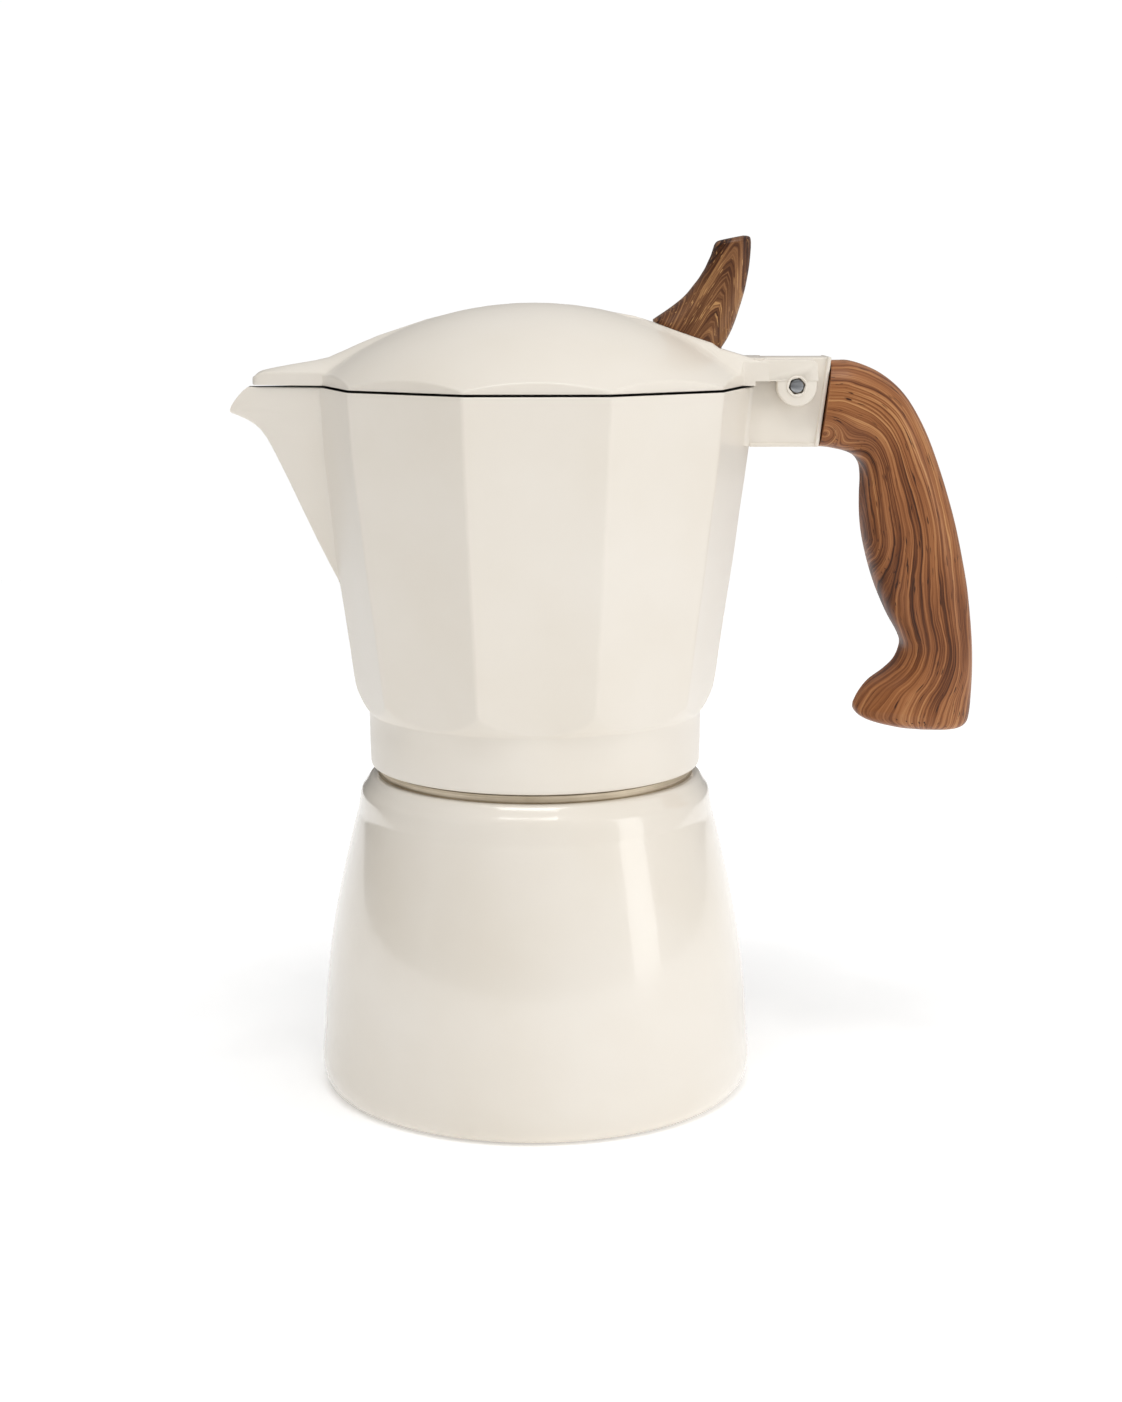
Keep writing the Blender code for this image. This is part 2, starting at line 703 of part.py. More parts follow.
def jug_outside():
    """The ten-sided body, trimmed at its foot by a turned undercut that leaves an arc under each side."""
    foot = JUG_SEAT - JUG_FLOOR
    body = turned(
        "upper_chamber",
        [
            (0, JUG_RIM),
            *[(jug_corner(z), z) for z in (JUG_RIM + (foot - JUG_RIM) * i / 6 for i in range(7))],
            (0, foot),
        ],
        steps=JUG_SIDES,
    )
    undercut_top = JUG_SEAT + JUG_UNDERCUT_HEIGHT
    undercut_foot = JUG_SEAT - 0.9 * MM
    blank = turned(
        "undercut_blank",
        [
            (0, JUG_RIM + MM),
            (JUG_RIM_RADIUS + MM, JUG_RIM + MM),
            (JUG_RIM_RADIUS + MM, undercut_top + 6 * MM),
            *arc(
                (jug_corner(undercut_top) + 0.3 * MM, undercut_top),
                (COLLAR_RADIUS - 0.2 * MM, undercut_foot),
                JUG_UNDERCUT_BULGE,
                4,
            ),
            (0, undercut_foot),
        ],
        helper=True,
    )
    keep(body, blank)
    return body


def collar_outside():
    edge = 0.7 * MM
    return turned(
        "collar_blank",
        [
            (0, JUG_SEAT + MM),
            (COLLAR_RADIUS, JUG_SEAT + MM),
            (COLLAR_RADIUS, COLLAR_BOTTOM + 3 * edge),
            (COLLAR_RADIUS - edge / 2, COLLAR_BOTTOM + edge / 3),
            (COLLAR_RADIUS - edge, COLLAR_BOTTOM),
            (0, COLLAR_BOTTOM),
        ],
        helper=True,
    )


def spout_rings(name, inset, bottom, top):
    """The spout as a stack of level rings: a wedge with a rounded nose that curls out under the tip."""
    start = JUG_RIM - SPOUT_START
    curl_top = JUG_RIM - SPOUT_TIP_DROP
    curl_start = curl_top - SPOUT_CURL_HEIGHT
    levels = [start, start + SPOUT_START * 0.35, start + SPOUT_START * 0.6, curl_start]
    levels += [curl_start + SPOUT_CURL_HEIGHT * share for share in (0.35, 0.6, 0.8, 1)]
    levels += [JUG_RIM + MM]
    rings = []
    for z in [level for level in levels if bottom <= level <= top]:
        out = jug_corner(start) - MM / 2 + SPOUT_RAKE * (z - start)
        curl = max(0, (min(z, curl_top) - curl_start) / SPOUT_CURL_HEIGHT)
        reach = out + SPOUT_CURL_REACH * curl**3.7 - 1.5 * inset
        root = jug_corner(z) - JUG_WALL * (1 if inset == 0 else 3)
        half = SPOUT_HALF_WIDTH * (z - start + 2 * MM) / (SPOUT_START + 2 * MM) - inset
        ring = []
        for i in range(9):
            across = -1 + i / 4
            ring.append((-root - (reach - root) * (1 - abs(across) ** 1.4), half * across, z))
        rings.append(ring)
    return loft(name, rings, helper=True)


def lip_cutter():
    """All that stands beyond the lip's curve, from the lid's edge down to the tip."""
    tip_x = spout_tip_x()
    tip_z = JUG_RIM - SPOUT_TIP_DROP
    lip = arc((tip_x, tip_z), (tip_x + SPOUT_LIP_RUN, JUG_RIM), 0.7 * MM, 4)
    outline = [*lip, (tip_x + SPOUT_LIP_RUN, JUG_RIM + 5 * MM), (tip_x - 9 * MM, JUG_RIM + 5 * MM)]
    outline += [(tip_x - 9 * MM, tip_z)]
    return plate("lip_cutter", outline, 4 * SPOUT_HALF_WIDTH, helper=True)


def spout_tip_x():
    start = JUG_RIM - SPOUT_START
    rise = SPOUT_START - SPOUT_TIP_DROP
    return -(jug_corner(start) - MM / 2 + SPOUT_RAKE * rise + SPOUT_CURL_REACH)


def bracket_web():
    """The lug that carries the hinge, with a nose turned about the pin, and the rim that meets the handle."""
    foot = BRACKET_TOP - BRACKET_DEPTH
    web_top = BRACKET_TOP - FLANGE_STEP
    web_foot = foot + FLANGE_STEP
    nose_start = math.degrees(math.asin((web_top - PIN_Z) / HINGE_RELIEF_RADIUS))
    root = jug_corner(foot) - JUG_WALL / 2
    inset = FLANGE_THICKNESS / 2
    outline = [
        (root, web_foot),
        (face_x(web_foot) - inset, web_foot),
        (face_x(web_top) - inset, web_top),
        *quarter((PIN_X, PIN_Z), HINGE_RELIEF_RADIUS, 180 - nose_start, 180, 4),
        (root, PIN_Z - 2 * GAP),
    ]
    web = plate("bracket_web", outline, WEB_HALF_WIDTH, helper=True)
    flange_outline = [
        (face_x(foot) - FLANGE_THICKNESS, foot),
        (face_x(foot), foot),
        (BRACKET_END, BRACKET_TOP),
        (BRACKET_END - FLANGE_THICKNESS, BRACKET_TOP),
    ]
    flange = plate("bracket_flange", flange_outline, FLANGE_HALF_WIDTH, helper=True)
    return web, flange


def tongue_low():
    return BRACKET_TOP - TONGUE_DROP - TONGUE_HEIGHT


def handle_screw_x():
    return face_x(tongue_low()) + TONGUE_LENGTH * 0.55


def make_upper_chamber():
    body = jug_outside()
    web, flange = bracket_web()
    spout = spout_rings("spout_outside", 0, 0, 1)
    cut(spout, lip_cutter(), box_above_rim())
    join(body, collar_outside(), spout, web, flange)

    tongue = box(
        "handle_tongue",
        (face_x(tongue_low()) - 2 * MM, -TONGUE_HALF_WIDTH, tongue_low()),
        (face_x(tongue_low()) + TONGUE_LENGTH, TONGUE_HALF_WIDTH, tongue_low() + TONGUE_HEIGHT),
        helper=True,
    )
    join(body, tongue)

    inside_foot = JUG_SEAT + JUG_FLOOR
    inside = turned(
        "jug_inside",
        [
            (0, JUG_RIM + MM),
            *[
                (jug_corner(z) - JUG_WALL, z)
                for z in (JUG_RIM + MM + (inside_foot + 9 * MM - JUG_RIM - MM) * i / 4 for i in range(5))
            ],
            (COLLAR_RADIUS - 2 * COLLAR_WALL, inside_foot),
            (0, inside_foot),
        ],
        steps=JUG_SIDES,
        helper=True,
    )
    channel = spout_rings("spout_channel", SPOUT_WALL, JUG_RIM - SPOUT_START * 0.8, 1)
    bore = cylinder(
        "collar_bore", COLLAR_BORE_RADIUS, (0, 0, COLLAR_BOTTOM - MM), (0, 0, JUG_SEAT), ROUND_STEPS, helper=True
    )
    spigot_hole = cylinder(
        "column_hole",
        COLUMN_SPIGOT_RADIUS + GAP,
        (0, 0, JUG_SEAT - MM),
        (0, 0, inside_foot + MM),
        helper=True,
    )
    pin_hole = cylinder(
        "bracket_pin_hole",
        PIN_RADIUS + PIN_RUNNING_CLEARANCE,
        (PIN_X, -CHEEK_OUTER, PIN_Z),
        (PIN_X, CHEEK_OUTER, PIN_Z),
        helper=True,
    )
    screw_hole = cylinder(
        "tongue_screw_hole",
        HANDLE_SCREW_RADIUS + GAP,
        (handle_screw_x(), 0, tongue_low() - MM),
        (handle_screw_x(), 0, tongue_low() + TONGUE_HEIGHT - 2 * MM),
        helper=True,
    )
    cut(body, inside, channel, bore)
    join(body, thread_rib("collar_thread", COLLAR_BORE_RADIUS, COLLAR_THREAD_RADIUS, COLLAR_THREAD_START))
    cut(body, spigot_hole, pin_hole, screw_hole)
    return body


def box_above_rim():
    reach = 2 * JUG_RIM_RADIUS
    return box("rim_cutter", (-reach, -reach, JUG_RIM), (reach, reach, JUG_RIM + 10 * MM), helper=True)


def make_column():
    foot = JUG_SEAT + GAP
    floor = JUG_SEAT + JUG_FLOOR + GAP
    top = floor + COLUMN_HEIGHT
    column = turned(
        "coffee_column",
        [
            (COLUMN_TOP_RADIUS, top),
            (COLUMN_FOOT_RADIUS, floor + 3 * MM),
            (COLUMN_FOOT_RADIUS + 1.6 * MM, floor + 1.4 * MM),
            (COLUMN_FOOT_RADIUS + 1.6 * MM, floor),
            (COLUMN_SPIGOT_RADIUS, floor),
            (COLUMN_SPIGOT_RADIUS, foot),
            (COLUMN_BORE_RADIUS, foot),
            (COLUMN_BORE_RADIUS, top),
        ],
        closed=True,
        steps=SMALL_STEPS,
    )
    share = COLUMN_CAP_DEPTH / COLUMN_HEIGHT
    bore = COLUMN_TOP_RADIUS + (COLUMN_FOOT_RADIUS - COLUMN_TOP_RADIUS) * share + GAP + 0.1 * MM
    cap_top = top + GAP + COLUMN_CAP_WALL
    cap = turned(
        "column_cap",
        [
            (0, cap_top),
            (bore, cap_top),
            (bore + COLUMN_CAP_WALL, cap_top - COLUMN_CAP_WALL),
            (bore + COLUMN_CAP_WALL, top - COLUMN_CAP_DEPTH),
            (bore, top - COLUMN_CAP_DEPTH),
            (bore, top + GAP),
            (0, top + GAP),
        ],
        steps=SMALL_STEPS,
    )
    slot = box(
        "cap_slots",
        (-2 * bore, -1.6 * MM, top - COLUMN_CAP_DEPTH + 1.6 * MM),
        (2 * bore, 1.6 * MM, top - COLUMN_CAP_DEPTH + 5 * MM),
        helper=True,
    )
    column_slot = box(
        "column_slots",
        (-2 * bore, -1.2 * MM, top - COLUMN_CAP_DEPTH + 2 * MM),
        (2 * bore, 1.2 * MM, top - COLUMN_CAP_DEPTH + 4.6 * MM),
        helper=True,
    )
    cut(cap, slot)
    cut(column, column_slot)
    return column, cap


# ---- lid and hinge -----------------------------------------------------------------------------------------


def dome_height(radius, drop=0):
    return DOME_CENTRE + math.sqrt((LID_DOME_RADIUS - drop) ** 2 - radius**2)


def ridge_height(x):
    """Top line of the two ridges, which leave the dome gently and end level with the bracket."""
    level = JUG_RIM_RADIUS - LID_RIDGE_LEVEL
    share = min(1, max(0, (x - LID_RIDGE_START) / (level - LID_RIDGE_START)))
    return dome_height(min(x, level)) + (BRACKET_TOP - dome_height(level)) * share**2


def spout_cover():
    """The roof over the spout, out to the lip's top: a wedge in plan with a crowned top."""
    rings = []
    reach = -spout_tip_x() - SPOUT_LIP_RUN
    start = LID_RIDGE_START
    crease = JUG_RIM_RADIUS - 2.5 * MM
    places = [start + (crease - start) * i / 4 for i in range(5)]
    places += [crease + (reach - 2.2 * MM - crease) * i / 2 for i in (1, 2)] + [reach]
    for x in places:
        beyond = max(0, (x - crease) / (reach - crease))
        half = SPOUT_COVER_HALF_WIDTH - (SPOUT_COVER_HALF_WIDTH - SPOUT_COVER_TIP_HALF_WIDTH) * beyond
        ridge = ridge_height(x) if x < crease else ridge_height(crease) - 2.9 * MM * beyond
        eave = min(ridge - 0.9 * MM, LID_BOTTOM + 2.8 * MM)
        if x == reach:
            ridge, eave = LID_BOTTOM + 1.6 * MM, LID_BOTTOM + 1.1 * MM
        rings.append(
            [
                (-x, -half, LID_BOTTOM),
                (-x, -half, eave),
                (-x, -half * 0.55, ridge - (ridge - eave) * 0.28),
                (-x, 0, ridge),
                (-x, half * 0.55, ridge - (ridge - eave) * 0.28),
                (-x, half, eave),
                (-x, half, LID_BOTTOM),
            ]
        )
    return loft("spout_cover", rings, helper=True)


def hinge_arm():
    """The lid's rear arm: full width over the rim, then a plate that stops short of the bracket's nose."""
    half = CHEEK_OUTER + GAP
    over_rim = PIN_X - HINGE_RELIEF_RADIUS
    places = [LID_RIDGE_START + (over_rim - LID_RIDGE_START) * i / 4 for i in range(5)]
    rings = []
    for x, foot in [*[(x, LID_BOTTOM) for x in places], (over_rim + GAP, ARM_FOOT), (over_rim + 3 * MM, ARM_FOOT)]:
        top = ridge_height(x) if x < over_rim else BRACKET_TOP
        eave = top - 1.6 * MM if x < over_rim else top - 0.7 * MM
        rings.append(
            [
                (x, -half, foot),
                (x, -half, eave),
                (x, -half + 1.2 * MM, top - 0.2 * MM),
                (x, 0, top),
                (x, half - 1.2 * MM, top - 0.2 * MM),
                (x, half, eave),
                (x, half, foot),
            ]
        )
    return loft("hinge_arm", rings, helper=True)


def cheek_outline():
    """Side view of a cheek: the arm's side with a round knuckle hanging about the pin."""
    high = BRACKET_TOP - 0.8 * MM
    start = PIN_X - HINGE_RELIEF_RADIUS + MM
    meets = 180 - math.degrees(math.asin((ARM_FOOT - PIN_Z) / KNUCKLE_RADIUS))
    rear = math.degrees(math.acos(KNUCKLE_RADIUS / HINGE_SWEEP))
    clip = math.degrees(math.asin((high - PIN_Z) / HINGE_SWEEP))
    return [
        (start, ARM_FOOT + GAP / 3),
        *quarter((PIN_X, PIN_Z), KNUCKLE_RADIUS, meets - 1, 360, 10),
        *quarter((PIN_X, PIN_Z), HINGE_SWEEP, rear, clip, 2),
        (start, high),
    ]


def make_lid():
    inner_reach = LID_RADIUS - LID_RIM_WIDTH
    outer_reach = LID_RADIUS
    steps = 10
    outside = [(outer_reach * i / steps, dome_height(outer_reach * i / steps)) for i in range(steps + 1)]
    lid = turned("lid", [*outside, (outer_reach, LID_BOTTOM), (0, LID_BOTTOM)])
    skirt = turned(
        "skirt_blank",
        [(0, LID_BOTTOM + 2 * LID_DOME_HEIGHT), (LID_RADIUS, LID_BOTTOM + 2 * LID_DOME_HEIGHT), (LID_RADIUS, 0), (0, 0)],
        steps=JUG_SIDES,
        helper=True,
    )
    keep(lid, skirt)
    join(lid, spout_cover(), hinge_arm())
    hollow = turned(
        "lid_hollow",
        [
            *[(inner_reach * i / 7, dome_height(inner_reach * i / 7, LID_WALL)) for i in range(7)],
            (inner_reach, LID_BOTTOM + 0.8 * MM),
            (inner_reach, LID_BOTTOM - MM),
            (0, LID_BOTTOM - MM),
        ],
        helper=True,
    )
    relief = cylinder(
        "hinge_relief",
        HINGE_RELIEF_RADIUS + GAP,
        (PIN_X, -CHEEK_INNER, PIN_Z),
        (PIN_X, CHEEK_INNER, PIN_Z),
        ROUND_STEPS,
        helper=True,
    )
    for side in (-1, 1):
        cheek = plate(f"cheek_{side + 1}", cheek_outline(), (CHEEK_THICKNESS + MM) / 2, helper=True)
        cheek.location = (0, side * (CHEEK_OUTER - (CHEEK_THICKNESS + MM) / 2), 0)
        join(lid, cheek)
    cut(lid, hollow, relief)
    pin_hole = cylinder(
        "cheek_pin_hole",
        PIN_RADIUS + PIN_RUNNING_CLEARANCE,
        (PIN_X, -CHEEK_OUTER - MM, PIN_Z),
        (PIN_X, CHEEK_OUTER + MM, PIN_Z),
        helper=True,
    )
    cut(lid, pin_hole, knob_cylinder("lid_screw_hole", KNOB_SCREW_RADIUS + GAP, -3 * LID_WALL, MM, helper=True))
    return lid


def make_hinge_pin():
    return cylinder(
        "hinge_pin", PIN_RADIUS, (PIN_X, -CHEEK_OUTER, PIN_Z), (PIN_X, CHEEK_OUTER, PIN_Z), SMALL_STEPS
    )


# ---- knob --------------------------------------------------------------------------------------------------


def knob_point(across, stand):
    """(x, z) beside the knob's axis: across to the rear, stand outward from its seat on the rear ridge."""
    seat = Vector((KNOB_PLACE, ridge_height(KNOB_PLACE)))
    along = Vector((math.sin(KNOB_TILT), math.cos(KNOB_TILT)))
    return seat + stand * along + across * Vector((along.y, -along.x))


def along_knob(stand):
    point = knob_point(0, stand)
    return Vector((point.x, 0, point.y))


def lid_wall_at_knob():
    """Thickness of the lid under the knob, measured along the knob's axis to the hollow dome."""
    seat = along_knob(0) - Vector((0, 0, DOME_CENTRE))
    along = (along_knob(MM) - along_knob(0)) / MM
    reach = seat.dot(along)
    return reach - math.sqrt(reach**2 - seat.length_squared + (LID_DOME_RADIUS - LID_WALL) ** 2)


def knob_cylinder(name, radius, start, end, steps=16, helper=False):
    return cylinder(name, radius, along_knob(start), along_knob(end), steps, helper=helper)


def knob_outline():
    """The horn's side view: a foot that follows the ridge, a hollow front, a crowned back and a level top."""
    half, top, high = KNOB_FOOT_LENGTH / 2, KNOB_TOP_LENGTH / 2, KNOB_HEIGHT
    run = half * math.cos(KNOB_TILT)
    foot = [
        Vector((x, ridge_height(x) + 1.3 * GAP)) for x in (KNOB_PLACE + run * share for share in (1, 0.5, 0, -0.5, -1))
    ]
    front = [(-half * 0.42, high * 0.24), (-top * 0.72, high * 0.5), (-top * 0.82, high * 0.92)]
    back = [(top * 1.02, high * 0.97), (top * 1.38, high * 0.7), (half * 0.88, high * 0.3)]
    cap = [knob_point(-top * 0.45, high), knob_point(top * 0.6, high * 1.01)]
    front_run = smooth_run([foot[-1], *[knob_point(*place) for place in front]], 4)
    back_run = smooth_run([*[knob_point(*place) for place in back], foot[0]], 4)
    return [*front_run, *cap, *back_run, *foot[1:-1]]


def make_knob():
    knob = plate("lid_knob", knob_outline(), KNOB_HALF_WIDTH, KNOB_EDGE_ROUNDING, 1)
    insert_start = 2 * GAP
    insert_end = insert_start + KNOB_INSERT_LENGTH
    cut(knob, knob_cylinder("insert_bore", KNOB_INSERT_RADIUS + GAP, -MM, insert_end + GAP, helper=True))
    insert = knob_cylinder("knob_insert", KNOB_INSERT_RADIUS, insert_start, insert_end)
    cut(
        insert,
        knob_cylinder("insert_thread", KNOB_SCREW_RADIUS + GAP, -MM, insert_end - 1.2 * MM, 12, helper=True),
    )
    washer_start = -lid_wall_at_knob() - 2 * GAP
    washer_end = washer_start - WASHER_THICKNESS
    washer = knob_cylinder("knob_washer", 1.5 * KNOB_SCREW_HEAD_RADIUS, washer_end, washer_start)
    cut(
        washer,
        knob_cylinder(
            "knob_washer_hole", KNOB_SCREW_RADIUS + GAP, washer_end - MM, washer_start + MM, 12, helper=True
        ),
    )
    head_top = washer_end - GAP
    screw = knob_cylinder("knob_screw", KNOB_SCREW_RADIUS, head_top - MM, insert_end - 1.2 * MM - 2 * GAP, 12)
    join(
        screw,
        knob_cylinder(
            "knob_screw_head", KNOB_SCREW_HEAD_RADIUS, head_top - KNOB_SCREW_HEAD_HEIGHT, head_top, helper=True
        ),
    )
    return knob, insert, washer, screw


# ---- handle ------------------------------------------------------------------------------------------------


def handle_outline():
    """Side view of the handle, from the bracket's face out over the knuckles and down to the toe."""
    top = BRACKET_TOP - HANDLE_TOP_STEP
    foot = BRACKET_TOP - BRACKET_DEPTH
    reach, length = HANDLE_REACH, HANDLE_LENGTH
    x0 = BRACKET_END
    outer = smooth_run(
        [
            (x0 + 4 * MM, top),
            (x0 + reach * 0.36, top - length * 0.037),
            (x0 + reach * 0.565, top - length * 0.135),
            (x0 + reach * 0.79, top - length * 0.357),
            (x0 + reach * 0.95, top - length * 0.63),
            (x0 + reach, top - length * 0.88),
            (x0 + reach * 0.985, top - length * 0.965),
        ],
        4,
    )
    toe = smooth_run(
        [
            (x0 + reach * 0.90, top - length),
            (x0 + reach * 0.62, top - length),
            (x0 + reach * 0.33, top - length * 0.98),
            (x0 + reach * 0.22, top - length * 0.945),
        ],
        2,
    )
    inner = smooth_run(
        [
            (x0 + reach * 0.30, top - length * 0.88),
            (x0 + reach * 0.49, top - length * 0.81),
            (x0 + reach * 0.52, top - length * 0.745),
            (x0 + reach * 0.43, top - length * 0.67),
            (x0 + reach * 0.31, top - length * 0.56),
            (x0 + reach * 0.245, top - length * 0.44),
            (x0 + reach * 0.225, foot - HANDLE_ARCH_DROP),
            (x0 + reach * 0.13, foot - HANDLE_ARCH_DROP * 0.132),
            (face_x(foot) + 3 * MM, foot),
        ],
        3,
    )
    return [(face_x(top) + GAP, top), *outer, *toe, *inner, (face_x(foot) + GAP, foot)]


def make_handle():
    handle = plate("handle", handle_outline(), HANDLE_HALF_WIDTH, HANDLE_EDGE_ROUNDING, 2)
    x = handle_screw_x()
    low = tongue_low()
    pocket = box(
        "handle_pocket",
        (face_x(low) - 3 * MM, -TONGUE_HALF_WIDTH - GAP, low - GAP),
        (face_x(low) + TONGUE_LENGTH + GAP, TONGUE_HALF_WIDTH + GAP, low + TONGUE_HEIGHT + GAP),
        helper=True,
    )
    ledge = low - GAP - 1.8 * MM
    foot = BRACKET_TOP - BRACKET_DEPTH
    cut(
        handle,
        pocket,
        cylinder("screw_way", HANDLE_SCREW_RADIUS + GAP, (x, 0, ledge - MM), (x, 0, low + MM), helper=True),
        cylinder(
            "screw_counterbore",
            HANDLE_SCREW_HEAD_RADIUS + 2 * GAP,
            (x, 0, foot - 6 * MM),
            (x, 0, ledge),
            helper=True,
        ),
    )
    washer_top = ledge - GAP
    washer_foot = washer_top - WASHER_THICKNESS
    washer = cylinder("handle_washer", HANDLE_SCREW_HEAD_RADIUS, (x, 0, washer_foot), (x, 0, washer_top), 16)
    cut(
        washer,
        cylinder(
            "handle_washer_hole",
            HANDLE_SCREW_RADIUS + GAP,
            (x, 0, washer_foot - MM),
            (x, 0, washer_top + MM),
            helper=True,
        ),
    )
    head_top = washer_foot - GAP
    screw = cylinder(
        "handle_screw",
        HANDLE_SCREW_RADIUS,
        (x, 0, head_top - MM),
        (x, 0, low + TONGUE_HEIGHT - 2 * MM - 2 * GAP),
        16,
    )
    head = cylinder(
        "handle_screw_head",
        HANDLE_SCREW_HEAD_RADIUS,
        (x, 0, head_top - HANDLE_SCREW_HEAD_HEIGHT),
        (x, 0, head_top),
        helper=True,
    )
    join(screw, head)
    return handle, washer, screw


# ---- assembly ----------------------------------------------------------------------------------------------


def make_axis(name, place):
    """An empty on a joint's axis, which carries the pieces that move about it."""
    axis = bpy.data.objects.new(name, None)
    axis.location = place
    axis.empty_display_size = 10 * MM
    bpy.data.collections["moka_pot"].objects.link(axis)
    return axis


def carry(axis, pieces):
    bpy.context.view_layer.update()
    for piece in pieces:
        piece.parent = axis
        piece.matrix_parent_inverse = axis.matrix_world.inverted()


def main():
    clear_scene()
    cream = make_material("cream_paint", (0.82, 0.78, 0.70), 0.35, 0.0)
    wood = make_material("walnut_look_plastic", (0.30, 0.15, 0.07), 0.45, 0.0)
    bare = make_material("bare_aluminium", (0.72, 0.72, 0.71), 0.35, 1.0)
    steel = make_material("steel", (0.55, 0.55, 0.56), 0.3, 1.0)
    brass = make_material("brass", (0.78, 0.60, 0.30), 0.3, 1.0)
    rubber = make_material("white_silicone", (0.86, 0.85, 0.82), 0.7, 0.0)
    fibre = make_material("red_fibre", (0.45, 0.12, 0.08), 0.8, 0.0)

    boiler = finish(make_boiler(), cream)
    for piece in make_funnel():
        finish(piece, bare)
    gasket, filter_plate = make_gasket_set()
    finish(gasket, rubber)
    finish(filter_plate, bare)
    valve_body, valve_washer, retainer, piston, spring = make_valve()
    finish(valve_body, brass)
    finish(valve_washer, fibre)
    finish(retainer, brass)
    finish(piston, steel)
    finish(spring, steel)

    jug = finish(make_upper_chamber(), cream)
    column, cap = make_column()
    finish(column, bare)
    finish(cap, bare)
    pin = finish(make_hinge_pin(), steel)
    handle, handle_washer, handle_screw = make_handle()
    finish(handle, wood)
    finish(handle_washer, steel)
    finish(handle_screw, steel)

    lid = finish(make_lid(), cream)
    knob, insert, knob_washer, knob_screw = make_knob()
    finish(knob, wood)
    finish(insert, brass)
    finish(knob_washer, steel)
    finish(knob_screw, steel)

    turn_axis = make_axis("chamber_turn_axis", (0, 0, COLLAR_BOTTOM))
    lid_axis = make_axis("lid_hinge_axis", (PIN_X, 0, PIN_Z))
    valve_axis = make_axis("valve_slide_axis", along_valve(0))
    carry(turn_axis, [gasket, filter_plate, jug, column, cap, pin, handle, handle_washer, handle_screw, lid_axis])
    carry(lid_axis, [lid, knob, insert, knob_washer, knob_screw])
    carry(valve_axis, [piston])


main()
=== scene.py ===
import json
import math

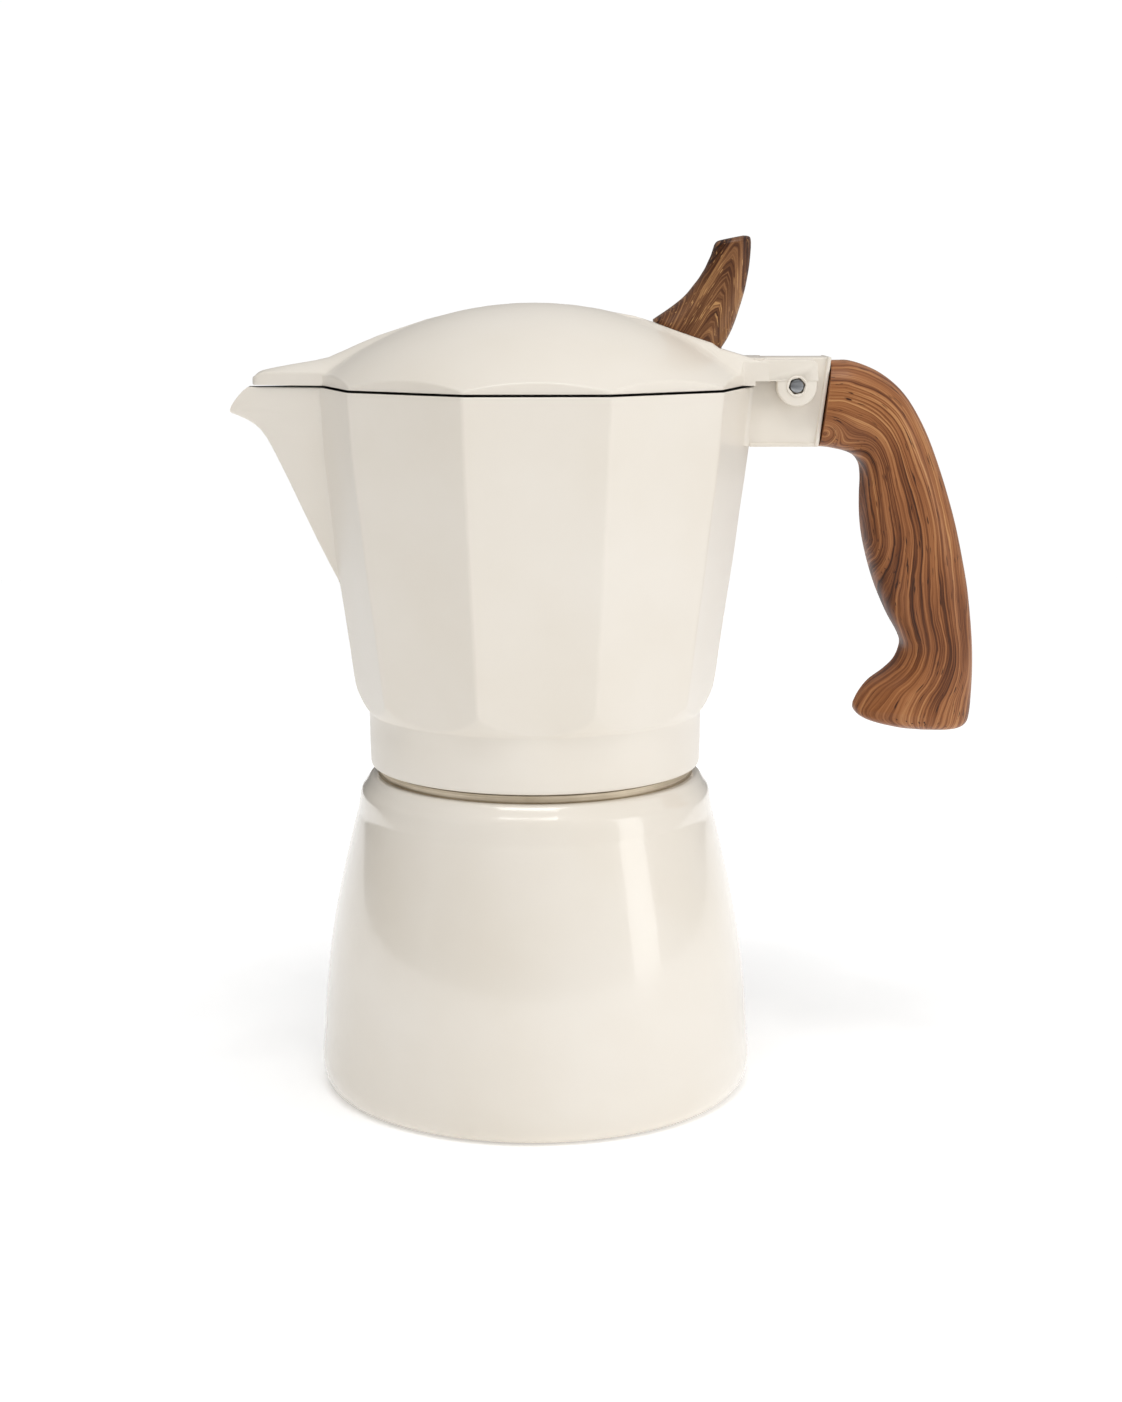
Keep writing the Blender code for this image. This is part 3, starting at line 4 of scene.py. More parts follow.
import bpy
import numpy as np
from mathutils import Matrix, Vector
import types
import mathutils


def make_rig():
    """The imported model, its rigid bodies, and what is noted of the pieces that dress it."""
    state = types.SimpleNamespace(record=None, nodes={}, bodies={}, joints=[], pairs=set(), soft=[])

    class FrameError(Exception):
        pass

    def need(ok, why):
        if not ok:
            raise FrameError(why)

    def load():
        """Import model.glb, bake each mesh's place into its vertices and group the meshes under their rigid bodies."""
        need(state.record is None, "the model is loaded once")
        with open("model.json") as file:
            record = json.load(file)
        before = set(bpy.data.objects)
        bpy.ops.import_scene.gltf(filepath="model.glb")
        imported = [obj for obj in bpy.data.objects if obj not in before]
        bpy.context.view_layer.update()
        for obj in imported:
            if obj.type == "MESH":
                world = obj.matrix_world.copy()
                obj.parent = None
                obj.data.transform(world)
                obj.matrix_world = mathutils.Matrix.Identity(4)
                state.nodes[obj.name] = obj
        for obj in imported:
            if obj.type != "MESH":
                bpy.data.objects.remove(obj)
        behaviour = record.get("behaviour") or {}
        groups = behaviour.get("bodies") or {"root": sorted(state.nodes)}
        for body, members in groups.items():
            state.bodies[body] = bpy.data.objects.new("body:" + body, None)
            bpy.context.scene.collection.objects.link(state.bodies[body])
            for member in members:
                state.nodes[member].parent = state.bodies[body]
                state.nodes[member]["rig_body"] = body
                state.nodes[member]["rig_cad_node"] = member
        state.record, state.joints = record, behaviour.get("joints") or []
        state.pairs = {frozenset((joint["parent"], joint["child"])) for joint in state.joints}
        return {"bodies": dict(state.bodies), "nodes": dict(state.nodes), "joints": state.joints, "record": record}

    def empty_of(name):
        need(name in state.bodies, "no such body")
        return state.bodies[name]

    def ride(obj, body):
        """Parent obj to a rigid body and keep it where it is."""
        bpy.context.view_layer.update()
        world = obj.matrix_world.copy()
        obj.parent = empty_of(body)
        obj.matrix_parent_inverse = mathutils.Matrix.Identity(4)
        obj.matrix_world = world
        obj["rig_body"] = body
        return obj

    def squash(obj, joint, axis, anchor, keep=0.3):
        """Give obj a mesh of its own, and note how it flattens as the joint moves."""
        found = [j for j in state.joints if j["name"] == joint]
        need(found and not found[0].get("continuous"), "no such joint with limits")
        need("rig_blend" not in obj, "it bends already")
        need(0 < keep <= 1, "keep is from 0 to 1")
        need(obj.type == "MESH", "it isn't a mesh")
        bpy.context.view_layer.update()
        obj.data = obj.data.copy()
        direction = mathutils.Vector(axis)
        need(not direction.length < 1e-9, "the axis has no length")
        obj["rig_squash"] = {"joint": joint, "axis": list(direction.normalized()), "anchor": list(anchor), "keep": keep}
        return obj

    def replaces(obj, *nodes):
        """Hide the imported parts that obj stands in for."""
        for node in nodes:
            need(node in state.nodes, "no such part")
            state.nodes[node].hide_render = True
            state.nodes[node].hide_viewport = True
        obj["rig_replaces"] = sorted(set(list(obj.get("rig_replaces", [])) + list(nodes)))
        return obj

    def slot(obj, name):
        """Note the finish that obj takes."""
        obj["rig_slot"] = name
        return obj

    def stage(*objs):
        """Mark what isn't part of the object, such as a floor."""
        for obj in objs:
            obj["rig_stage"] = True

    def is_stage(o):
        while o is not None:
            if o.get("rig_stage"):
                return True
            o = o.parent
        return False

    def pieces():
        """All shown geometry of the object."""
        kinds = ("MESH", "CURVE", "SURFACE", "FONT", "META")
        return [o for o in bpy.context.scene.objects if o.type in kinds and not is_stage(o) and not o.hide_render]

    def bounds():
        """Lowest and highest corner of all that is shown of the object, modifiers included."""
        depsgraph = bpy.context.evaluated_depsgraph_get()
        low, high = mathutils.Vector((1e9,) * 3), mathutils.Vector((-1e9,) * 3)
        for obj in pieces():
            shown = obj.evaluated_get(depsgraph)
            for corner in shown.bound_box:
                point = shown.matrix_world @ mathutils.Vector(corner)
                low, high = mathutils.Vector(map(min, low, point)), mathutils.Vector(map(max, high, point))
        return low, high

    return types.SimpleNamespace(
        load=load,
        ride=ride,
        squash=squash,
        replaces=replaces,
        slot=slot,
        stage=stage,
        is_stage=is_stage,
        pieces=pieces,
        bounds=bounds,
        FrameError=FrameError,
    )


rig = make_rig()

mm = 0.001
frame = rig.load()
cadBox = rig.bounds()
print("frame loaded:", len(frame["nodes"]), "nodes on", len(frame["bodies"]), "bodies")


def addObject(name, data):
    thing = bpy.data.objects.new(name, data)
    bpy.context.scene.collection.objects.link(thing)
    return thing


def newPiece(name, points, faces, body, material, slot=None, faceMaterials=None):
    mesh = bpy.data.meshes.new(name)
    mesh.from_pydata([tuple(p) for p in points], [], [tuple(f) for f in faces])
    for m in material if isinstance(material, list) else [material]:
        mesh.materials.append(m)
    if faceMaterials is not None:
        mesh.polygons.foreach_set("material_index", faceMaterials)
    mesh.validate()
    piece = addObject(name, mesh)
    if body:
        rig.ride(piece, body)
    if slot:
        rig.slot(piece, slot)
    return piece


def softShade(piece, sharpAngle=32):
    piece.data.shade_smooth()
    piece.data.set_sharp_from_angle(angle=math.radians(sharpAngle))
    return piece


def gridFaces(rowCount, columnCount, capLow=True, capHigh=True):
    faces = []
    for r in range(rowCount - 1):
        for c in range(columnCount):
            n = (c + 1) % columnCount
            a, b = r * columnCount, (r + 1) * columnCount
            faces.append((a + c, a + n, b + n, b + c))
    if capLow:
        faces.append(tuple(reversed(range(columnCount))))
    if capHigh:
        top = (rowCount - 1) * columnCount
        faces.append(tuple(range(top, top + columnCount)))
    return faces


def turnedPoints(profile, steps):
    # profile of (radius, height) in mm, turned about Z
    angles = np.arange(steps) * 2 * math.pi / steps
    rows = [np.stack([r * np.cos(angles), r * np.sin(angles), np.full(steps, z)], 1) for r, z in profile]
    return np.concatenate(rows) * mm


def turnedPiece(name, profile, steps, body, material, slot=None, rowMaterials=None):
    # the profile starts and ends close to the axis
    marks = None
    if rowMaterials:
        marks = [m for m in rowMaterials for _ in range(steps)] + [rowMaterials[-1]] * 2
    points = turnedPoints(profile, steps)
    return softShade(newPiece(name, points, gridFaces(len(profile), steps), body, material, slot, marks))


def smoothRun(points, steps):
    # a Catmull-Rom curve through the points
    p = [np.array(q, float) for q in points]
    p = [2 * p[0] - p[1], *p, 2 * p[-1] - p[-2]]
    out = []
    for i in range(1, len(p) - 2):
        for step in range(steps):
            t = step / steps
            out.append(
                0.5 * (2 * p[i] + (p[i + 1] - p[i - 1]) * t
                       + (2 * p[i - 1] - 5 * p[i] + 4 * p[i + 1] - p[i + 2]) * t * t
                       + (3 * p[i] - p[i - 1] - 3 * p[i + 1] + p[i + 2]) * t ** 3)
            )
    out.append(p[-2])
    return [tuple(q) for q in out]


def roundRun(centre, radius, start, end, steps):
    angles = [math.radians(start + (end - start) * i / steps) for i in range(steps + 1)]
    return [(centre[0] + radius * math.cos(a), centre[1] + radius * math.sin(a)) for a in angles]


def softMax(a, b, blend):
    h = np.clip(0.5 + 0.5 * (a - b) / blend, 0, 1)
    return b * (1 - h) + a * h + blend * h * (1 - h)


def softMin(a, b, blend):
    return -softMax(-a, -b, blend)


def prism(name, outline, halfWidth):
    # an (x, z) outline in mm, carried along Y
    count = len(outline)
    points = [(x * mm, y * mm, z * mm) for y in (-halfWidth, halfWidth) for x, z in outline]
    faces = [(i, (i + 1) % count, count + (i + 1) % count, count + i) for i in range(count)]
    faces += [tuple(reversed(range(count))), tuple(range(count, 2 * count))]
    mesh = bpy.data.meshes.new(name)
    mesh.from_pydata(points, [], faces)
    area = sum(x1 * z2 - x2 * z1 for (x1, z1), (x2, z2) in zip(outline, outline[1:] + outline[:1]))
    if area > 0:
        mesh.flip_normals()
    return addObject(name, mesh)


def platePiece(name, outline, halfWidth, rounding, body, material, slot, centreY=0):
    # a flat plate with rounded edges; only corners sharper than 40 degrees are rounded
    piece = prism(name, outline, halfWidth)
    piece.data.transform(Matrix.Translation((0, centreY * mm, 0)))
    piece.data.materials.append(material)
    useModifier(piece, "BEVEL", width=rounding * mm, segments=3, limit_method="ANGLE",
                angle_limit=math.radians(40), use_clamp_overlap=False)
    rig.ride(piece, body)
    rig.slot(piece, slot)
    return softShade(piece)


def useModifier(piece, kind, **settings):
    # adds a modifier and applies it, so that the piece keeps a plain mesh
    modifier = piece.modifiers.new(kind.lower(), kind)
    for key, value in settings.items():
        setattr(modifier, key, value)
    bpy.context.view_layer.update()
    graph = bpy.context.evaluated_depsgraph_get()
    mesh = bpy.data.meshes.new_from_object(piece.evaluated_get(graph))
    piece.modifiers.clear()
    piece.data = mesh


def carve(piece, cutter, operation="DIFFERENCE"):
    useModifier(piece, "BOOLEAN", object=cutter, operation=operation, solver="EXACT")
    bpy.data.objects.remove(cutter)


threadShape = {
    "depth": 1.3, "height": 1.8, "pitch": 4.0, "turns": 1.2,
    "root": 0.35,  # how far the rib is sunk into its wall
    "crest": 0.22,  # half of the crest's width, as a share of the height
    "stepsPerTurn": 96, "taperSteps": 14,
}


def sweptThread(name, radius, start, body, material, inward=False):
    # a trapezoid carried round a helix, tapering out at both ends
    t = threadShape
    steps = int(t["turns"] * t["stepsPerTurn"])
    out = -1 if inward else 1
    flank, edge = t["height"] / 2, t["height"] * t["crest"]
    points = []
    for i in range(steps + 1):
        angle = 2 * math.pi * t["turns"] * i / steps
        z = start + t["pitch"] * t["turns"] * i / steps
        crest = t["depth"] * min(1, i / t["taperSteps"], (steps - i) / t["taperSteps"]) * out
        root = -t["root"] * out
        for r, dz in ((root, -flank), (crest, -edge), (crest, edge), (root, flank)):
            reach = radius + r
            points.append((reach * math.cos(angle) * mm, reach * math.sin(angle) * mm, (z + dz) * mm))
    faces = gridFaces(steps + 1, 4)
    if inward:
        faces = [tuple(reversed(f)) for f in faces]
    return softShade(newPiece(name, points, faces, body, material), 40)


def linear(hexColour):
    # sRGB hex to linear RGBA
    parts = [int(hexColour[i:i + 2], 16) / 255 for i in (1, 3, 5)]
    return (*[c / 12.92 if c <= 0.04045 else ((c + 0.055) / 1.055) ** 2.4 for c in parts], 1)


def addNode(tree, kind, settings=None, links=None, into=None):
    # links feed the node's own sockets; into is the socket that its first output feeds
    node = tree.nodes.new("ShaderNode" + kind)
    for key, value in (settings or {}).items():
        if key == "stops":
            ramp = node.color_ramp
            while len(ramp.elements) < len(value):
                ramp.elements.new(0.5)
            for element, (at, colour) in zip(ramp.elements, value):
                element.position = at
                element.color = linear(colour) if isinstance(colour, str) else (colour, colour, colour, 1)
        elif isinstance(key, int) or key in node.inputs:
            node.inputs[key].default_value = value
        else:
            setattr(node, key, value)
    for socket, source in (links or {}).items():
        tree.links.new(source, node.inputs[socket])
    if into:
        tree.links.new(node.outputs[0], into)
    return node


def newMaterial(name, **shaderSettings):
    material = bpy.data.materials.new(name)
    material.use_nodes = True
    tree = material.node_tree
    shader = tree.nodes["Principled BSDF"]
    for key, value in shaderSettings.items():
        shader.inputs[key].default_value = value
    place = addNode(tree, "TexCoord").outputs["Object"]
    return material, tree, shader, place


# enamel sprayed on cast aluminium: an even warm white whose gloss ripples like orange peel
enamelLook = {
    "colours": ("#eae3d8", "#e6ded1"),
    "driftSize": 38,  # mm, slow change of shade
    "peelSize": 1.5,  # mm from crest to crest
    "peelHeight": 0.012,  # mm
    "dustSize": 0.55,  # mm, fine texture of the sprayed coat
    "dustHeight": 0.0048,  # mm
    "coatRoughness": 0.05,
    "glossSpan": (-0.03, 0.04),  # how far the roughness drifts
}


def enamel(name, roughness, coat, peel=1.0):
    look = enamelLook
    material, tree, shader, place = newMaterial(
        name, **{"Roughness": roughness, "IOR": 1.5, "Coat Weight": coat,
                 "Coat Roughness": look["coatRoughness"], "Coat IOR": 1.5}
    )
    drift = addNode(tree, "TexNoise", {"Scale": 1 / (look["driftSize"] * mm), "Detail": 3.0},
                    {"Vector": place})
    light, dark = look["colours"]
    addNode(tree, "ValToRGB", {"stops": [(0.35, dark), (0.65, light)]}, {0: drift.outputs[0]},
            shader.inputs["Base Color"])
    ripple = addNode(tree, "TexNoise", {"Scale": 1 / (look["peelSize"] * mm), "Detail": 1.0},
                     {"Vector": place})
    dust = addNode(tree, "TexNoise", {"Scale": 1 / (look["dustSize"] * mm), "Detail": 2.0},
                   {"Vector": place})
    peeled = addNode(tree, "Bump", {"Strength": peel, "Distance": look["peelHeight"] * mm},
                     {"Height": ripple.outputs[0]})
    addNode(tree, "Bump", {"Strength": 0.5 * peel, "Distance": look["dustHeight"] * mm},
            {"Height": dust.outputs[0], "Normal": peeled.outputs[0]}, shader.inputs["Normal"])
    tree.links.new(peeled.outputs[0], shader.inputs["Coat Normal"])
    low, high = [roughness + change for change in look["glossSpan"]]
    addNode(tree, "MapRange", {"From Min": 0.3, "From Max": 0.7, "To Min": low, "To Max": high},
            {"Value": drift.outputs[0]}, shader.inputs["Roughness"])
    return material


def dress(tree, shader, tone, toneSpan, dark, light, relief, strength, depth):
    # two tones from one pattern and relief from another, its depth in mm
    addNode(tree, "ValToRGB", {"stops": [(toneSpan[0], dark), (toneSpan[1], light)]}, {0: tone},
            shader.inputs["Base Color"])
    addNode(tree, "Bump", {"Strength": strength, "Distance": depth * mm}, {"Height": relief},
            shader.inputs["Normal"])


# aluminium spun on a lathe: fine rings round the axis and a soft grey sheen
spunLook = {"colours": ("#b9b3aa", "#8f887e"), "ringSpacing": 0.35, "stainSize": 14, "roughness": 0.42}


def spunAluminium(name, colours=spunLook["colours"], roughness=spunLook["roughness"]):
    look = spunLook
    light, dark = colours
    material, tree, shader, place = newMaterial(name, Metallic=1.0, Roughness=roughness)
    turned = addNode(tree, "Mapping", {"Scale": (30, 30, 1 / (look["ringSpacing"] * mm))},
                     {"Vector": place})
    rings = addNode(tree, "TexNoise", {"Scale": 1.0, "Detail": 2.0}, {"Vector": turned.outputs[0]})
    stain = addNode(tree, "TexNoise", {"Scale": 1 / (look["stainSize"] * mm), "Detail": 4.0},
                    {"Vector": place})
    mixed = addNode(tree, "Math", {"operation": "MULTIPLY"}, {0: rings.outputs[0], 1: stain.outputs[0]})
    dress(tree, shader, mixed.outputs[0], (0.14, 0.36), dark, light, rings.outputs[0], 0.35, 0.03)
    return material


# aluminium as it left the mould: grainy, matte and slightly blotched
castLook = {"grainSize": 0.5, "blotchSize": 9, "roughness": (0.4, 0.62)}


def castAluminium(name, light, dark, grain=castLook["grainSize"]):
    look = castLook
    material, tree, shader, place = newMaterial(name, Metallic=1.0)
    sand = addNode(tree, "TexNoise", {"Scale": 1 / (grain * mm), "Detail": 3.0}, {"Vector": place})
    blotch = addNode(tree, "TexNoise", {"Scale": 1 / (look["blotchSize"] * mm), "Detail": 4.0},
                     {"Vector": place})
    smooth, rough = look["roughness"]
    addNode(tree, "MapRange", {"To Min": smooth, "To Max": rough}, {"Value": sand.outputs[0]},
            shader.inputs["Roughness"])
    dress(tree, shader, blotch.outputs[0], (0.35, 0.65), dark, light, sand.outputs[0], 0.4, 0.05)
    return material


# drawn or turned metal in small parts: faint lines along one way, worn brighter in patches
drawnLook = {"lineScale": (400, 400, 3200), "wear": (-0.08, 0.1)}  # lines 0.3 mm apart along Z


def drawnMetal(name, light, dark, roughness):
    look = drawnLook
    material, tree, shader, place = newMaterial(name, Metallic=1.0)
    stretch = addNode(tree, "Mapping", {"Scale": look["lineScale"]}, {"Vector": place})
    streak = addNode(tree, "TexNoise", {"Scale": 1.0, "Detail": 3.0}, {"Vector": stretch.outputs[0]})
    low, high = [roughness + change for change in look["wear"]]
    addNode(tree, "MapRange", {"To Min": low, "To Max": high}, {"Value": streak.outputs[0]},
            shader.inputs["Roughness"])
    dress(tree, shader, streak.outputs[0], (0.3, 0.7), dark, light, streak.outputs[0], 0.25, 0.02)
    return material


# moulded rubber and pressed fibre: matte, with a faint grain and flow marks
def mouldedSoft(name, light, dark, roughness, grain):
    material, tree, shader, place = newMaterial(name, Roughness=roughness, IOR=1.45)
    fibre = addNode(tree, "TexNoise", {"Scale": 1 / (grain * mm), "Detail": 4.0}, {"Vector": place})
    dress(tree, shader, fibre.outputs[0], (0.3, 0.7), dark, light, fibre.outputs[0], 0.3, 0.04)
    return material


# nylon moulded and printed with walnut figure under a satin lacquer: fine dark lines that flow with
# the shape
walnutLook = {
    "lineSpacing": 0.72,  # mm between the broad growth lines
    "fineSpacing": 0.34,  # mm between the fine ones, drawn coarser than real so that they still show
    "waver": 1.21,  # mm that a line wanders
    "poreLength": 4.4,  # mm
    "toneStops": (0.0, 0.26, 0.5, 0.74, 1.0),
    "fineShare": 0.95, "patchShare": 0.6, "toneSpan": (0.98, 1.56),
    "roughness": 0.42,
}


def printedWalnut(name, tones, flecks):
    # tones from dark to light; the figure follows the piece's own field, stored in mm on its vertices
    look = walnutLook
    material, tree, shader, _ = newMaterial(
        name, **{"IOR": 1.45, "Specular IOR Level": 0.3, "Coat Weight": 0.06, "Coat Roughness": 0.3}
    )
    flow = addNode(tree, "Attribute", {"attribute_name": "figure"}).outputs["Vector"]
    parts = addNode(tree, "SeparateXYZ", {}, {0: flow})
    across, along = parts.outputs[0], parts.outputs[1]

    def pattern(scale, detail, roughness, source):
        stretched = addNode(tree, "Mapping", {"Scale": scale}, {"Vector": source})
        settings = {"Scale": 1.0, "Detail": detail, "Roughness": roughness}
        return addNode(tree, "TexNoise", settings, {"Vector": stretched.outputs[0]}).outputs[0]

    warp = pattern((0.16, 0.05, 0.12), 3.0, 0.55, flow)
    shift = addNode(tree, "Math", {"operation": "MULTIPLY_ADD", 1: 2 * look["waver"], 2: -look["waver"]},
                    {0: warp})
    bent = addNode(tree, "Math", {"operation": "ADD"}, {0: across, 1: shift.outputs[0]})
    lines = addNode(tree, "CombineXYZ", {}, {0: bent.outputs[0], 1: along}).outputs[0]
    broad = pattern((1 / look["lineSpacing"], 0.012, 1), 2.0, 0.5, lines)
    fine = pattern((1 / look["fineSpacing"], 0.03, 1), 3.0, 0.65, lines)
    patch = pattern((0.11, 0.03, 0.1), 2.0, 0.5, flow)
    both = addNode(tree, "Math", {"operation": "MULTIPLY_ADD", 1: look["fineShare"]}, {0: fine, 2: broad})
    total = addNode(tree, "Math", {"operation": "MULTIPLY_ADD", 1: look["patchShare"]},
                    {0: patch, 2: both.outputs[0]})
    level = addNode(tree, "MapRange", {"From Min": look["toneSpan"][0], "From Max": look["toneSpan"][1]},
                    {"Value": total.outputs[0]})
    # painted light and shade, stored on the vertices, lifts or lowers the tone
    edge = addNode(tree, "Attribute", {"attribute_name": "edgeLight"})
    lifted = addNode(tree, "Math", {"operation": "ADD"}, {0: level.outputs[0], 1: edge.outputs["Fac"]})
    stops = list(zip(look["toneStops"], tones))
    shade = addNode(tree, "ValToRGB", {"stops": stops}, {0: lifted.outputs[0]})
    base = look["roughness"]
    # short dark or light pores along the lines
    pore = pattern((2.4, 1 / look["poreLength"], 2.4), 1.0, 0.5, flow)
    poreMask = addNode(tree, "ValToRGB", {"stops": [(0.66, 0.0), (0.72, 1.0)]}, {0: pore})
    poreTone = addNode(tree, "Mix", {"data_type": "RGBA", 7: linear(flecks)},
                       {0: poreMask.outputs[0], 6: shade.outputs[0]})
    tree.links.new(poreTone.outputs[2], shader.inputs["Base Color"])
    addNode(tree, "MapRange", {"To Min": base + 0.1, "To Max": base - 0.04},
            {"Value": lifted.outputs[0]}, shader.inputs["Roughness"])
    addNode(tree, "Bump", {"Strength": 0.25, "Distance": 0.04 * mm}, {"Height": lifted.outputs[0]},
            shader.inputs["Normal"])
    return material


glossEnamel = enamel("gloss_enamel_sprayed", 0.2, 0.7)
satinEnamel = enamel("satin_enamel_sprayed", 0.36, 0.12, 0.8)
neckMetal = spunAluminium("machined_aluminium_neck", ("#ded1bc", "#b6a891"), 0.5)
wallMetal = castAluminium("cast_aluminium_inside", "#d6d3cd", "#c3bfb8")
spunMetal = spunAluminium("spun_aluminium")
# bare rim metal coloured dark: painted shade for the seam between the lid and the chamber
rimSeamShadeMetal = castAluminium("aluminium_rim_painted_seam_shade", "#4d4843", "#35312d", 0.35)
steel = drawnMetal("drawn_steel", "#adafb1", "#7f8184", 0.34)
brass = drawnMetal("turned_brass", "#c9a566", "#9a7a40", 0.3)
silicone = mouldedSoft("moulded_silicone", "#e6e3da", "#d8d4c9", 0.55, 1.2)
redFibre = mouldedSoft("pressed_red_fibre", "#7d2a1d", "#591a12", 0.75, 0.5)
handleWalnut = printedWalnut(
    "walnut_print_on_nylon_handle", ("#361907", "#633619", "#86512c", "#a0683e", "#bb8757"), "#3b1d0c"
)
knobWalnut = printedWalnut(
    "walnut_print_on_nylon_knob", ("#230e05", "#482611", "#653e22", "#855a38", "#a6784c"), "#b98a58"
)
chamberPaint = ("upper_chamber", satinEnamel, "cream_satin_paint")
lidPaint = ("lid", satinEnamel, "cream_satin_paint")
print("materials made")


boilerShape = {
    "steps": 160,
    # (radius, height)
    "side": [(47.2, 0.0), (48.3, 0.35), (49.2, 1.3), (49.9, 3.0), (50.25, 5.5), (50.15, 8.5), (49.8, 12),
             (49.4, 19), (48.8, 25.7), (48.0, 32.5), (46.95, 39.3), (45.65, 46), (44.1, 53), (42.55, 59.5),
             (41.75, 62.6), (41.1, 64.9)],
    "shoulder": [(41.1, 64.9), (40.9, 66.4), (40.65, 68.0), (40.4, 69.2), (40.0, 70.1), (39.3, 71.1),
                 (38.5, 72.3), (38.0, 72.9), (37.3, 73.25), (36.4, 73.3)],
    "neckRadius": 33.6, "neckWall": 2.8, "threadStart": 78.3,
    "landRadius": 36.0,  # the machined step that shows in the groove
    "wall": 3.2, "floor": 3.6,
    "boss": [(0.02, 0), (5.0, 0), (7.2, 0.0), (7.9, 0.2), (8.3, 0.7), (8.5, 1.6), (8.9, 2.6), (9.8, 3.3),
             (9.9, 5.0), (0.02, 5.0)],  # (radius, depth) of the relief valve's boss
    "bossFace": (47.2, 44.0),  # y and z of the middle of its face
}


def makeBoiler():
    b = boilerShape
    outer = smoothRun(b["side"], 3)[:-1] + smoothRun(b["shoulder"], 3)
    land, neckRadius, bottom = b["landRadius"], b["neckRadius"], b["floor"]
    neck = [(land + 0.2, 73.3), (land, 73.45), (land, 74.2), (land, 74.9), (land - 0.25, 75.15),
            (neckRadius + 0.3, 75.15), (neckRadius, 75.4), (neckRadius, 76.5), (neckRadius, 80),
            (neckRadius, 83.3), (33.0, 84.0), (31.5, 84.0)]
    bore = neckRadius - b["neckWall"]
    inner = [(bore, 83.4), (bore, 79), (bore, 72.0), (35.2, 68.5)]
    inner += [(r - b["wall"], z) for r, z in outer[-30:8:-4] if 8 < z < 66]
    inner += [(44.6, 7.4), (43.2, 5.0), (40.6, bottom), (20, bottom), (0.02, bottom)]
    profile = [(0.02, 0.0), (30, 0.0), *outer, *neck, *inner]
    # the outside is painted; the neck and the inside are bare
    painted = 1 + len(outer)
    marks = [0] * painted + [1] * (len(profile) - painted - 1)
    shell = turnedPiece("boiler_shell", profile, b["steps"], "boiler", [glossEnamel, neckMetal],
                        "cream_gloss_paint", marks)
    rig.replaces(shell, "boiler")
    sweptThread("boiler_thread", neckRadius, b["threadStart"], "boiler", neckMetal)
    boss = turnedPiece("valve_boss", b["boss"], 64, None, glossEnamel)
    boss.data.flip_normals()
    # laid along +Y with its face outward
    faceY, faceZ = [v * mm for v in b["bossFace"]]
    for v in boss.data.vertices:
        x, y, z = v.co
        v.co = (x, faceY - z, faceZ + y)
    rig.ride(boss, "boiler")
    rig.slot(boss, "cream_gloss_paint")
    softShade(boss)


makeBoiler()
print("boiler made")


chamberShape = {
    "seat": 88.9, "rim": 161.62, "floor": 91.9, "floorRadius": 32.8,
    "collarBore": 35.4, "threadStart": 76.0,
    # the rest is in pairs of (height, value)
    "corner": [(86, 40.2), (88.9, 40.6), (95.5, 41.75), (102.5, 42.65), (109.5, 43.6), (116.4, 44.6),
               (123.3, 45.6), (133.5, 46.85), (140.4, 47.8), (148, 48.75), (161.7, 50.0), (166, 50.4)],
    "undercut": [(75.5, 37.35), (75.62, 37.62), (75.9, 37.84), (76.4, 37.97), (81.5, 38.1), (87.9, 38.15),
                 (88.25, 38.3), (88.7, 38.72), (89.4, 39.28), (90.3, 39.88), (91.2, 40.4), (92.2, 40.95),
                 (94, 41.75), (96, 42.6), (99, 44.2), (104, 48), (110, 60)],
    "cornerRounding": 1.9, "innerRounding": 3.0,
    "wall": 2.7,
    "spoutReach": [(110, 36.0), (116.7, 44.3), (120, 46.1), (126.9, 49.5), (133.7, 52.65), (140.5, 55.75),
                   (147.3, 59.0), (150.0, 60.45), (151.8, 61.7), (153.2, 63.2), (154.3, 65.0), (155.1, 66.8),
                   (155.65, 68.2), (155.9, 68.69), (156.2, 70.5), (166, 71.5)],
    "spoutHalf": [(110, 0.2), (116.7, 0.4), (161.7, 6.7), (166, 7.0)],
    "spoutWall": 1.5, "spoutNose": 0.1,
    # the pouring lip's curve, (x, z)
    "lip": [(-68.69, 155.86), (-68.3, 157.2), (-67.3, 158.7), (-65.9, 160.3), (-64.6, 161.4), (-63.3, 162.2)],
}


def facetRadius(theta, corner, rounding):
    # ten-sided outline with its corners at multiples of 36 degrees, each rounded
    half = math.pi / 10
    a = np.abs((theta + half) % (2 * half) - half)
    flat = corner * math.cos(half) / np.cos(half - a)
    centre = corner - rounding / math.cos(half)
    arc = centre * np.cos(a) + np.sqrt(np.maximum(0, rounding ** 2 - (centre * np.sin(a)) ** 2))
    tangent = np.arctan2(rounding * math.sin(half), centre + rounding * math.cos(half))
    return np.where(a < tangent, arc, flat)


def columnAngles(near, fans):
    # angles that crowd at the ten corners, plus fans of (middle, step, count), all in degrees
    angles = {18.0 + 36 * k for k in range(10)}
    angles |= {36.0 * k + side * a for k in range(10) for a in near for side in (-1, 1)}
    angles |= {middle + side * step * i for middle, step, count in fans for i in range(count)
               for side in (-1, 1)}
    kept = []
    for a in sorted({round(a % 360, 4) for a in angles}):
        if not kept or a - kept[-1] > 0.14:
            kept.append(a)
    return np.radians(np.array(kept))


def table(pairs, at):
    return np.interp(at, [p[0] for p in pairs], [p[1] for p in pairs])


